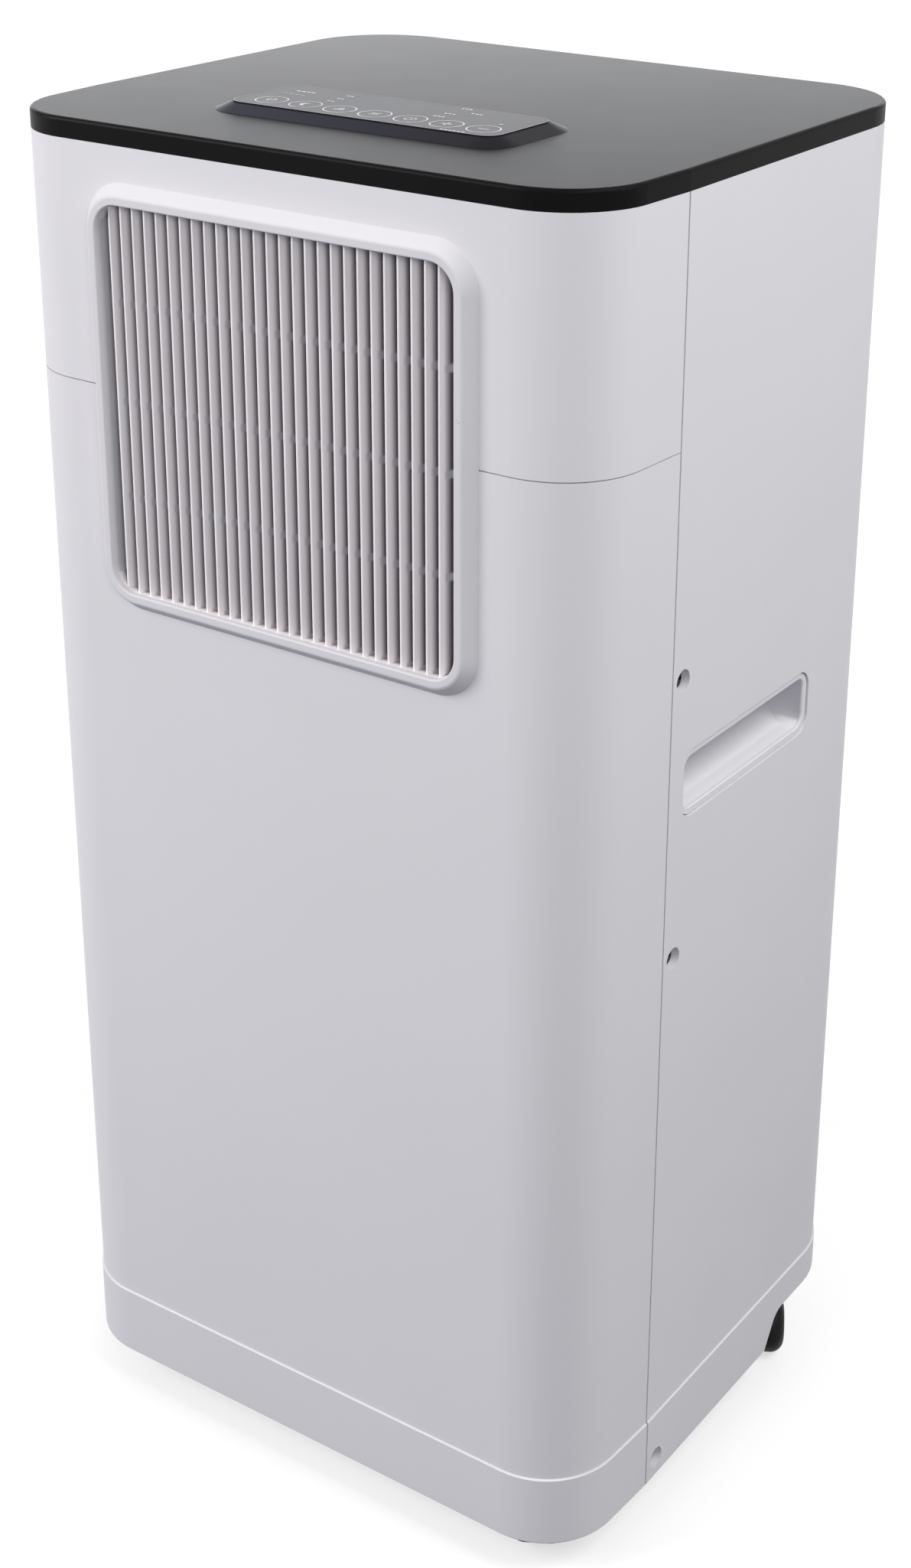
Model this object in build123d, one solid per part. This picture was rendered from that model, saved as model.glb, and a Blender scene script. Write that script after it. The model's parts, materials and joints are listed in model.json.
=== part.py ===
from build123d import *
import math
import os

# A portable air conditioner in millimetres. The floor is z = 0, the front faces -Y.

# Body
BODY_WIDTH = 330.0
BODY_DEPTH = 286.0
BODY_HEIGHT = 679.0
SKIRT_CLEARANCE = 21.0
WALL = 2.5
FRONT_CORNER_RADIUS = 40.0
REAR_CORNER_RADIUS = 46.0
FLANK_TAPER_DEG = 3.0
SEAM_BEHIND_FRONT = 69.7
SIDE_SEAM_GAP = 1.0
MID_SEAM_BELOW_TOP = 122.3
MID_SEAM_GAP = 0.6
FIT = 0.3
TONGUE = 1.5
TONGUE_REACH = 5.0
TONGUE_ROOT = 8.0

# Skirt band at the foot of the body, raised at the rear to free the casters
SKIRT_BAND = 40.0
SKIRT_PROUD = 0.8
LEDGE_CHAMFER = 0.7
SKIRT_EDGE_RADIUS = 1.2
STEP_BEHIND_FRONT = 196.0
STEP_RUN = 12.5
STEP_RISE = 20.0
STEP_TOP_RADIUS = 12.0
STEP_FOOT_RADIUS = 2.5

# Top cover with the control plateau
RIM_HEIGHT = 9.4
RIM_EDGE_RADIUS = 1.8
COVER_LIP = 6.0
COVER_RIB = 2.0
COVER_RIB_REACH = 10.0
COVER_RIB_PITCH = 50.0
PLATEAU_TOP_WIDTH = 149.0
PLATEAU_TOP_DEPTH = 51.0
PLATEAU_TOP_RADIUS = 9.0
PLATEAU_BEVEL = 8.0
PLATEAU_HEIGHT = 3.6
PLATEAU_BEHIND_FRONT = 50.0
FILM_THICKNESS = 0.4
FILM_MARGIN = 0.6
KEY_BOARD_WIDTH = 132.0
KEY_BOARD_DEPTH = 40.0
BOARD_THICKNESS = 1.6
BOARD_POST_RADIUS = 3.0
BOARD_POST_LENGTH = 8.0
BOARD_POST_MARGIN = 6.0

# Outlet grille
GRILLE_FROM_SIDE = 57.0
GRILLE_HEIGHT = 204.6
GRILLE_RADIUS = 22.0
GRILLE_BELOW_TOP = 25.7
GRILLE_PROUD = 6.0
GRILLE_BEVEL = 5.0
GRILLE_LAND = 4.2
GRILLE_CREST_RADIUS = 2.0
GRILLE_EDGE_RADIUS = 0.8
GRILLE_NECK = 20.0
GRILLE_NECK_WALL = 2.5
SLAT_COUNT = 27
SLAT_END_GAP = 7.8
SLAT_THICKNESS = 1.6
SLAT_DEPTH = 13.0
SLAT_TURN_DEG = 20.0
SLAT_BEHIND_LAND = 4.0
SLAT_NOSE_RADIUS = 0.6
TIE_BAR_COUNT = 3
TIE_BAR_HEIGHT = 2.4
TIE_BAR_DEPTH = 4.0

# Side handles
HANDLE_WIDTH = 122.4
HANDLE_HEIGHT = 32.6
HANDLE_RADIUS = 9.0
HANDLE_LIP = 3.2
HANDLE_DEPTH = 24.0
HANDLE_WALL = 2.0
HANDLE_COVE_RADIUS = 15.0
HANDLE_BELOW_TOP = 287.0
HANDLE_BEHIND_FRONT = 143.0
HANDLE_GAP = 0.7
HANDLE_RECESS = 0.9
HANDLE_EDGE_RADIUS = 0.8

# Case screws in round recesses
SCREW_BEHIND_SEAM = 9.3
SCREW_BELOW_TOP = (232.6, 374.8)
SCREW_ABOVE_SKIRT = 11.6
SCREW_RECESS_RADIUS = 5.75
SCREW_RECESS_DEPTH = 5.6
SCREW_BOSS_RADIUS = 8.0
SCREW_BOSS_FLOOR = 2.0
SCREW_HEAD_RADIUS = 4.4
SCREW_HEAD_HEIGHT = 2.4
SCREW_SHANK_RADIUS = 1.9
SCREW_LENGTH = 9.0
SCREW_CLEARANCE = 0.35
SCREW_DRIVE = 1.1
SCREW_TAB = 4.2

# Back: air intake with filter, exhaust collar, lower vents, drain, cord gland
INTAKE_FROM_SIDE = 52.0
INTAKE_HEIGHT = 214.0
INTAKE_RADIUS = 10.0
INTAKE_BELOW_TOP = 30.0
INTAKE_PLATE = 3.0
INTAKE_GAP = 0.4
INTAKE_RIM = 2.0
INTAKE_SLOT_HEIGHT = 4.4
INTAKE_SLOT_PITCH = 8.4
INTAKE_SLOT_ROWS = 23
INTAKE_SLOT_COLUMNS = 3
INTAKE_BAR = 8.0
INTAKE_PULL_WIDTH = 46.0
INTAKE_PULL_HEIGHT = 5.0
INTAKE_PULL_PROUD = 4.0
FILTER_THICKNESS = 5.0
FILTER_BORDER = 7.0
FILTER_WIRE = 1.2
FILTER_COLUMNS = 14
FILTER_ROWS = 14
HOSE_BORE_RADIUS = 62.0
COLLAR_WALL = 3.0
COLLAR_DEPTH = 26.0
COLLAR_FLANGE = 8.0
COLLAR_FLANGE_THICKNESS = 2.5
COLLAR_BELOW_TOP = 374.0
VENT_ROWS = 18
VENT_COLUMNS = 3
VENT_PITCH = 9.0
VENT_HEIGHT = 4.6
VENT_FROM_SIDE = 58.0
VENT_BAR = 8.0
VENT_ABOVE_BASE = 36.0
DRAIN_X = 60.0
DRAIN_ABOVE_BASE = 10.0
SPOUT_RADIUS = 6.0
SPOUT_BORE = 4.0
SPOUT_PROUD = 2.5
PLUG_HEAD_RADIUS = 7.5
PLUG_HEAD = 3.5
PLUG_LENGTH = 12.0
PLUG_CLEARANCE = 0.05
GLAND_FROM_SIDE = 61.0
GLAND_ABOVE_BASE = 238.0
GLAND_RADIUS = 7.0
GLAND_BORE = 4.0
GLAND_FLANGE = 10.0
GLAND_FLANGE_THICKNESS = 3.0
GLAND_NUT = 6.0

# Base pan and deck
BASE_PLATE = 3.0
PAN_RIM = 18.0
PAN_WALL = 2.5
DECK_PLATE = 2.5
DECK_RIM = 10.0
DECK_BELOW_HANDLE = 6.0

# Twin-wheel casters
CASTER_FRONT_FROM_SIDE = 43.0
CASTER_BEHIND_FRONT = 38.0
CASTER_REAR_FROM_SIDE = 22.0
CASTER_BEHIND_STEP = 36.0
CASTER_HEADING_DEG = -60.0
CASTER_TRAIL = 10.0
WHEEL_RADIUS = 16.0
WHEEL_WIDTH = 10.5
WHEEL_SHOULDER = 7.5
WHEEL_BORE_DEPTH = 5.5
WHEEL_SIDE_GAP = 0.5
YOKE_WEB = 6.0
YOKE_CROWN_RADIUS = 12.0
YOKE_CROWN = 4.5
YOKE_HUB_RADIUS = 6.0
HOOD_GAP = 1.2
HOOD_THICKNESS = 1.6
AXLE_RADIUS = 2.5
RUNNING_FIT = 0.05
STEM_RADIUS = 4.0
STEM_LENGTH = 14.0
SOCKET_WALL = 4.0
SOCKET_ROOF = 2.0

# Refrigerant circuit
COMPRESSOR_RADIUS = 56.0
COMPRESSOR_WALL = 7.0
COMPRESSOR_HEIGHT = 205.0
COMPRESSOR_DOME = 22.0
COMPRESSOR_FROM_SIDE = 84.0
COMPRESSOR_BEHIND_FRONT = 80.0
FOOT_PLATE = 4.0
FOOT_RADIUS = 65.0
FOOT_TURN_DEG = 70.0
FOOT_PAD_RADIUS = 12.0
GROMMET_RADIUS = 11.0
GROMMET_HEIGHT = 14.0
BOLT_RADIUS = 3.0
BOLT_HEAD_RADIUS = 7.0
BOLT_HEAD = 4.0
BOLT_BITE = 3.0
ACCUMULATOR_RADIUS = 22.0
ACCUMULATOR_HEIGHT = 130.0
ACCUMULATOR_RAISE = 60.0
BRACKET_HEIGHT = 16.0
ACCUMULATOR_GAP = 6.0
COIL_FROM_REAR = 36.0
COIL_DEPTH = 30.0
CONDENSER_FROM_SIDE = 45.0
EVAPORATOR_FROM_SIDE = 52.0
EVAPORATOR_HEIGHT = 214.0
FIN_THICKNESS = 1.0
FIN_COUNT = 25
TUBE_RADIUS = 3.5
TUBE_PASSES = 8
COIL_MARGIN = 18.0
COIL_LEAD = 14.0
EXHAUST_GAP = 6.0
PIPE_RADIUS = 4.0
PIPE_BEND = 14.0
PIPE_FROM_SIDE = 14.0
CAPILLARY_RADIUS = 1.5
CAPILLARY_FROM_SIDE = 5.5

# Blowers
UPPER_WHEEL_RADIUS = 70.0
LOWER_WHEEL_MARGIN = 103.0
FAN_WIDTH = 46.0
FAN_DISC = 2.0
FAN_RING = 4.0
BLADE_COUNT = 30
BLADE_THICKNESS = 1.2
BLADE_CHORD = 14.0
FAN_SIDE_GAP = 4.0
FAN_TIP_GAP = 6.0
HUB_RADIUS = 9.0
HUB_LENGTH = 18.0
SHAFT_RADIUS = 4.0
SCROLL_GROWTH = 8.0
SCROLL_WALL = 2.0
SCROLL_NECK = 93.0
SCROLL_FROM_REAR = 64.0
INLET_STEP = 10.0
MOTOR_RADIUS = 40.0
MOTOR_LENGTH = 48.0
MOTOR_NOSE_RADIUS = 12.0
LOWER_SCROLL_SIDE_GAP = 22.5
LOWER_FAN_ABOVE_BASE = 112.0
UPPER_FAN_SHIFT = -12.0
DUCT_WALL = 2.0

# Electrics
ELECTRIC_BOX_WIDTH = 36.0
ELECTRIC_BOX_DEPTH = 110.0
ELECTRIC_BOX_HEIGHT = 150.0
ELECTRIC_BOX_ABOVE_DECK = 14.0
ELECTRIC_BOX_WALL = 2.0
CAPACITOR_RADIUS = 18.0
CAPACITOR_HEIGHT = 70.0
CAPACITOR_X = 92.0
CAPACITOR_BEHIND_FRONT = 46.0

# Levels and planes that the pieces share
FRONT_Y = -BODY_DEPTH / 2
REAR_Y = BODY_DEPTH / 2
SIDE_X = BODY_WIDTH / 2
INNER_X = SIDE_X - WALL
GRILLE_WIDTH = BODY_WIDTH - 2 * GRILLE_FROM_SIDE
INTAKE_WIDTH = BODY_WIDTH - 2 * INTAKE_FROM_SIDE
VENT_WIDTH = (BODY_WIDTH - 2 * VENT_FROM_SIDE - (VENT_COLUMNS - 1) * VENT_BAR) / VENT_COLUMNS
GLAND_X = -(SIDE_X - GLAND_FROM_SIDE)
CONDENSER_WIDTH = BODY_WIDTH - 2 * CONDENSER_FROM_SIDE
EVAPORATOR_WIDTH = BODY_WIDTH - 2 * EVAPORATOR_FROM_SIDE
SEAM_Y = FRONT_Y + SEAM_BEHIND_FRONT
SKIRT_Z = SKIRT_CLEARANCE
LEDGE_Z = SKIRT_Z + SKIRT_BAND
TOP_Z = SKIRT_Z + BODY_HEIGHT
RIM_Z = TOP_Z - RIM_HEIGHT
MID_Z = TOP_Z - MID_SEAM_BELOW_TOP
BASE_Z = SKIRT_Z + STEP_RISE
FLOOR_Z = BASE_Z + BASE_PLATE
STEP_Y = FRONT_Y + STEP_BEHIND_FRONT
GRILLE_Z = TOP_Z - GRILLE_BELOW_TOP - GRILLE_HEIGHT / 2
HANDLE_Z = TOP_Z - HANDLE_BELOW_TOP
HANDLE_Y = FRONT_Y + HANDLE_BEHIND_FRONT
SCREW_Y = SEAM_Y + SCREW_BEHIND_SEAM
SCREW_HEIGHTS = [TOP_Z - drop for drop in SCREW_BELOW_TOP] + [SKIRT_Z + SCREW_ABOVE_SKIRT]
DECK_Z = HANDLE_Z + HANDLE_HEIGHT / 2 + DECK_BELOW_HANDLE
DECK_TOP_Z = DECK_Z + DECK_PLATE
COIL_FRONT_Y = REAR_Y - COIL_FROM_REAR - COIL_DEPTH / 2
COIL_Y = REAR_Y - COIL_FROM_REAR
COLLAR_Z = TOP_Z - COLLAR_BELOW_TOP
COLLAR_RADIUS = HOSE_BORE_RADIUS + COLLAR_WALL
EXHAUST_FLOOR_Z = COLLAR_Z - COLLAR_RADIUS - SCROLL_WALL
EXHAUST_ROOF_Z = COLLAR_Z + COLLAR_RADIUS + SCROLL_WALL
EXHAUST_REAR_Y = REAR_Y - COLLAR_DEPTH - FIT
CONDENSER_HEIGHT = EXHAUST_FLOOR_Z - EXHAUST_GAP - FLOOR_Z
INTAKE_Z = TOP_Z - INTAKE_BELOW_TOP - INTAKE_HEIGHT / 2
SCROLL_REAR_Y = REAR_Y - SCROLL_FROM_REAR
SCROLL_FRONT_Y = SCROLL_REAR_Y - FAN_WIDTH - 2 * FAN_SIDE_GAP - 2 * SCROLL_WALL
COMPRESSOR_X = -(SIDE_X - COMPRESSOR_FROM_SIDE)
COMPRESSOR_Y = FRONT_Y + COMPRESSOR_BEHIND_FRONT
CAN_Z = FLOOR_Z + GROMMET_HEIGHT + FOOT_PLATE
CAN_TOP_Z = CAN_Z + COMPRESSOR_HEIGHT
ACCUMULATOR_Y = COMPRESSOR_Y + COMPRESSOR_RADIUS + ACCUMULATOR_GAP + ACCUMULATOR_RADIUS
ACCUMULATOR_Z = CAN_Z + ACCUMULATOR_RAISE
LOWER_WHEEL_RADIUS = SIDE_X - LOWER_WHEEL_MARGIN
LOWER_SCROLL_REACH = LOWER_WHEEL_RADIUS + FAN_TIP_GAP + SCROLL_WALL + 4 * SCROLL_GROWTH
LOWER_FAN_X = INNER_X - LOWER_SCROLL_SIDE_GAP - LOWER_SCROLL_REACH
LOWER_FAN_Z = BASE_Z + LOWER_FAN_ABOVE_BASE
PIPE_X = -(SIDE_X - PIPE_FROM_SIDE)
CAPILLARY_X = -(SIDE_X - CAPILLARY_FROM_SIDE)
CASTER_FRONT_X = SIDE_X - CASTER_FRONT_FROM_SIDE
CASTER_REAR_X = SIDE_X - CASTER_REAR_FROM_SIDE
CASTERS = {
    "front_left": (-CASTER_FRONT_X, FRONT_Y + CASTER_BEHIND_FRONT),
    "front_right": (CASTER_FRONT_X, FRONT_Y + CASTER_BEHIND_FRONT),
    "rear_left": (-CASTER_REAR_X, STEP_Y + CASTER_BEHIND_STEP),
    "rear_right": (CASTER_REAR_X, STEP_Y + CASTER_BEHIND_STEP),
}


def block(x0, x1, y0, y1, z0, z1):
    return Pos((x0 + x1) / 2, (y0 + y1) / 2, (z0 + z1) / 2) * Box(x1 - x0, y1 - y0, z1 - z0)


def rod_x(radius, y, z, x0, x1):
    return Pos((x0 + x1) / 2, y, z) * Rot(0, 90, 0) * Cylinder(radius, x1 - x0)


def rod_y(radius, x, z, y0, y1):
    return Pos(x, (y0 + y1) / 2, z) * Rot(90, 0, 0) * Cylinder(radius, y1 - y0)


def rod_z(radius, x, y, z0, z1):
    return Pos(x, y, (z0 + z1) / 2) * Cylinder(radius, z1 - z0)


def rounded_y(width, height, radius, x, z, y0, y1):
    """Rounded rectangle of the XZ plane, carried from y0 back to y1."""
    plane = Plane((x, y1, z), x_dir=(1, 0, 0), z_dir=(0, -1, 0))
    return extrude(plane * RectangleRounded(width, height, radius), y1 - y0)


def rounded_x(width, height, radius, y, z, x0, x1):
    """Rounded rectangle of the YZ plane, carried from x0 out to x1."""
    plane = Plane((x0, y, z), x_dir=(0, 1, 0), z_dir=(1, 0, 0))
    return extrude(plane * RectangleRounded(width, height, radius), x1 - x0)


def body_outline(inset):
    """Plan of the body: tapered flanks ahead of the side seam, rounded corners."""
    half = SIDE_X - inset
    front = FRONT_Y + inset
    rear = REAR_Y - inset
    taper = math.tan(math.radians(FLANK_TAPER_DEG)) * (SEAM_Y - front)
    corners = [
        (-half + taper, front),
        (half - taper, front),
        (half, SEAM_Y),
        (half, rear),
        (-half, rear),
        (-half, SEAM_Y),
    ]
    outline = make_face(Polyline(*corners, close=True))
    outline = fillet(outline.vertices().group_by(Axis.Y)[0], FRONT_CORNER_RADIUS - inset)
    return fillet(outline.vertices().group_by(Axis.Y)[-1], REAR_CORNER_RADIUS - inset)


def body_prism(inset, z0, z1):
    return extrude(Pos(0, 0, z0) * body_outline(inset), z1 - z0)


def body_ring(outer_inset, inner_inset, z0, z1):
    return body_prism(outer_inset, z0, z1) - body_prism(inner_inset, z0, z1)


def both_sides(piece):
    return [piece, mirror(piece, about=Plane.YZ)]


def body_shell():
    """The white casing as one hollow tube with its skirt band, before it is parted."""
    skirt = body_prism(-SKIRT_PROUD, SKIRT_Z, LEDGE_Z)
    skirt = chamfer(skirt.edges().group_by(Axis.Z)[-1], LEDGE_CHAMFER)
    skirt = fillet(skirt.edges().group_by(Axis.Z)[0], SKIRT_EDGE_RADIUS)
    outside = skirt + body_prism(0, LEDGE_Z, RIM_Z)
    return outside - body_prism(WALL, SKIRT_Z, RIM_Z)


def step_relief():
    """Space cut from the skirt towards the rear, with a rounded rise."""
    below = SKIRT_Z - STEP_RISE
    far = REAR_Y + SKIRT_BAND
    corners = [
        (STEP_Y - STEP_RUN, below),
        (STEP_Y - STEP_RUN, SKIRT_Z),
        (STEP_Y, SKIRT_Z),
        (STEP_Y + STEP_RUN, BASE_Z),
        (far, BASE_Z),
        (far, below),
    ]
    plane = Plane((-BODY_WIDTH, 0, 0), x_dir=(0, 1, 0), z_dir=(1, 0, 0))
    profile = make_face(Polyline(*corners, close=True))
    crest = profile.vertices().sort_by_distance((STEP_Y + STEP_RUN, BASE_Z))[0]
    profile = fillet(crest, STEP_TOP_RADIUS)
    foot = profile.vertices().sort_by_distance((STEP_Y, SKIRT_Z))[0]
    profile = fillet(foot, STEP_FOOT_RADIUS)
    return extrude(plane * profile, 2 * BODY_WIDTH)


def grille_opening():
    """Hole in the front panels that takes the neck of the outlet grille."""
    width = GRILLE_WIDTH - 2 * GRILLE_BEVEL
    height = GRILLE_HEIGHT - 2 * GRILLE_BEVEL
    radius = GRILLE_RADIUS - GRILLE_BEVEL
    return rounded_y(width, height, radius, 0, GRILLE_Z, FRONT_Y - GRILLE_PROUD, FRONT_Y + GRILLE_NECK)


def screw_bosses():
    bosses = Part()
    for z in SCREW_HEIGHTS:
        inner = SIDE_X - SCREW_RECESS_DEPTH - SCREW_BOSS_FLOOR
        for boss in both_sides(rod_x(SCREW_BOSS_RADIUS, SCREW_Y, z, inner, SIDE_X - WALL / 2)):
            bosses += boss
    return bosses


def screw_holes():
    holes = Part()
    floor = SIDE_X - SCREW_RECESS_DEPTH
    for z in SCREW_HEIGHTS:
        recess = rod_x(SCREW_RECESS_RADIUS, SCREW_Y, z, floor, SIDE_X + WALL)
        through = rod_x(SCREW_SHANK_RADIUS + SCREW_CLEARANCE, SCREW_Y, z, floor - SCREW_LENGTH, floor)
        for hole in both_sides(recess + through):
            holes += hole
    return holes


def screw_tabs(heights):
    """Tabs of the front panel that reach behind the screw bosses of the rear shell."""
    tabs = Part()
    face = SIDE_X - SCREW_RECESS_DEPTH - SCREW_BOSS_FLOOR - FIT
    root_y = SEAM_Y - TONGUE_ROOT
    for z in heights:
        low = z - SCREW_BOSS_RADIUS + 1
        high = z + SCREW_BOSS_RADIUS - 1
        reach = block(face - SCREW_TAB, face, root_y, SCREW_Y + SCREW_BOSS_RADIUS, low, high)
        web = block(face - SCREW_TAB, INNER_X, root_y, SEAM_Y - SIDE_SEAM_GAP, low, high)
        pilot = rod_x(SCREW_SHANK_RADIUS + RUNNING_FIT, SCREW_Y, z, face - 2 * SCREW_TAB, SIDE_X)
        for tab in both_sides(reach + web - pilot):
            tabs += tab
    return tabs


def seam_tongue(z0, z1):
    """Thin lip that closes the side seam from inside."""
    lip = body_ring(WALL + FIT, WALL + FIT + TONGUE, z0, z1)
    lip = lip & block(-SIDE_X, SIDE_X, SEAM_Y - TONGUE_ROOT, SEAM_Y + TONGUE_REACH, z0, z1)
    root = body_ring(WALL / 2, WALL + FIT + TONGUE, z0, z1)
    root = root & block(-SIDE_X, SIDE_X, SEAM_Y - TONGUE_ROOT, SEAM_Y - 2 * SIDE_SEAM_GAP, z0, z1)
    return lip + root


def front_panel(shell, z0, z1, tongue_z0, tongue_z1):
    piece = shell & block(-BODY_WIDTH, BODY_WIDTH, FRONT_Y - WALL, SEAM_Y - SIDE_SEAM_GAP / 2, z0, z1)
    tongue = seam_tongue(tongue_z0, tongue_z1)
    for z in SCREW_HEIGHTS:
        tongue -= rod_x(SCREW_BOSS_RADIUS + FIT, SCREW_Y, z, -SIDE_X, SIDE_X)
    return piece + tongue - grille_opening()


def front_lower_panel(shell):
    pan_top = BASE_Z + PAN_RIM + FIT
    panel = front_panel(shell, SKIRT_Z, MID_Z - MID_SEAM_GAP / 2, pan_top, MID_Z - MID_SEAM_GAP / 2)
    return panel + screw_tabs(SCREW_HEIGHTS)


def front_upper_panel(shell):
    low = MID_Z + MID_SEAM_GAP / 2
    return front_panel(shell, low, RIM_Z, low, RIM_Z - COVER_LIP - FIT)


def vent_slots():
    slots = Part()
    step = VENT_WIDTH + VENT_BAR
    for row in range(VENT_ROWS):
        z = BASE_Z + VENT_ABOVE_BASE + row * VENT_PITCH
        for column in range(VENT_COLUMNS):
            x = (column - (VENT_COLUMNS - 1) / 2) * step
            inside = REAR_Y - 2 * WALL
            slots += rounded_y(VENT_WIDTH, VENT_HEIGHT, VENT_HEIGHT / 2 - 0.1, x, z, inside, REAR_Y + WALL)
    return slots


def rear_shell(shell):
    rear = block(-BODY_WIDTH, BODY_WIDTH, SEAM_Y + SIDE_SEAM_GAP / 2, REAR_Y + WALL, SKIRT_Z, RIM_Z)
    piece = (shell & rear) - step_relief() + screw_bosses() - screw_holes()
    handle = rounded_x(
        HANDLE_WIDTH + 2 * HANDLE_GAP,
        HANDLE_HEIGHT + 2 * HANDLE_GAP,
        HANDLE_RADIUS + HANDLE_GAP,
        HANDLE_Y,
        HANDLE_Z,
        INNER_X - WALL,
        SIDE_X + WALL,
    )
    for opening in both_sides(handle):
        piece -= opening
    back = (REAR_Y - 2 * WALL, REAR_Y + WALL)
    piece -= rounded_y(INTAKE_WIDTH, INTAKE_HEIGHT, INTAKE_RADIUS, 0, INTAKE_Z, *back)
    piece -= rod_y(COLLAR_RADIUS + FIT, 0, COLLAR_Z, *back)
    piece -= rod_y(SPOUT_RADIUS + FIT, DRAIN_X, BASE_Z + DRAIN_ABOVE_BASE, *back)
    piece -= rod_y(GLAND_RADIUS + FIT, GLAND_X, BASE_Z + GLAND_ABOVE_BASE, *back)
    return piece - vent_slots()


def top_cover():
    rim = body_prism(0, RIM_Z, TOP_Z)
    rim = fillet(rim.edges().group_by(Axis.Z)[-1], RIM_EDGE_RADIUS)
    cover = rim - body_prism(WALL, RIM_Z, TOP_Z - WALL)
    cover += body_ring(WALL + FIT, WALL + FIT + TONGUE, RIM_Z - COVER_LIP, TOP_Z - WALL / 2)
    lip_x = INNER_X - FIT - TONGUE / 2
    for y in (-COVER_RIB_PITCH, 0, COVER_RIB_PITCH):
        low = RIM_Z - COVER_LIP
        high = TOP_Z - WALL / 2
        rib = block(lip_x - COVER_RIB_REACH, lip_x, y - COVER_RIB / 2, y + COVER_RIB / 2, low, high)
        for item in both_sides(rib):
            cover += item
    middle = FRONT_Y + PLATEAU_BEHIND_FRONT + PLATEAU_BEVEL + PLATEAU_TOP_DEPTH / 2
    foot = RectangleRounded(
        PLATEAU_TOP_WIDTH + 2 * PLATEAU_BEVEL,
        PLATEAU_TOP_DEPTH + 2 * PLATEAU_BEVEL,
        PLATEAU_TOP_RADIUS + PLATEAU_BEVEL,
    )
    top = RectangleRounded(PLATEAU_TOP_WIDTH, PLATEAU_TOP_DEPTH, PLATEAU_TOP_RADIUS)
    cover += loft([Pos(0, middle, TOP_Z) * foot, Pos(0, middle, TOP_Z + PLATEAU_HEIGHT) * top], ruled=True)
    reach_x = KEY_BOARD_WIDTH / 2 - BOARD_POST_MARGIN
    reach_y = KEY_BOARD_DEPTH / 2 - BOARD_POST_MARGIN
    for x in (-reach_x, reach_x):
        for y in (middle - reach_y, middle + reach_y):
            low = TOP_Z - WALL - BOARD_POST_LENGTH
            cover += rod_z(BOARD_POST_RADIUS, x, y, low, TOP_Z - WALL / 2)
    return cover


def control_film():
    middle = FRONT_Y + PLATEAU_BEHIND_FRONT + PLATEAU_BEVEL + PLATEAU_TOP_DEPTH / 2
    outline = RectangleRounded(
        PLATEAU_TOP_WIDTH - 2 * FILM_MARGIN,
        PLATEAU_TOP_DEPTH - 2 * FILM_MARGIN,
        PLATEAU_TOP_RADIUS - FILM_MARGIN,
    )
    return extrude(Pos(0, middle, TOP_Z + PLATEAU_HEIGHT) * outline, FILM_THICKNESS)


def control_board():
    middle = FRONT_Y + PLATEAU_BEHIND_FRONT + PLATEAU_BEVEL + PLATEAU_TOP_DEPTH / 2
    high = TOP_Z - WALL - BOARD_POST_LENGTH
    half_x = KEY_BOARD_WIDTH / 2
    half_y = KEY_BOARD_DEPTH / 2
    return block(-half_x, half_x, middle - half_y, middle + half_y, high - BOARD_THICKNESS, high)


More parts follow.
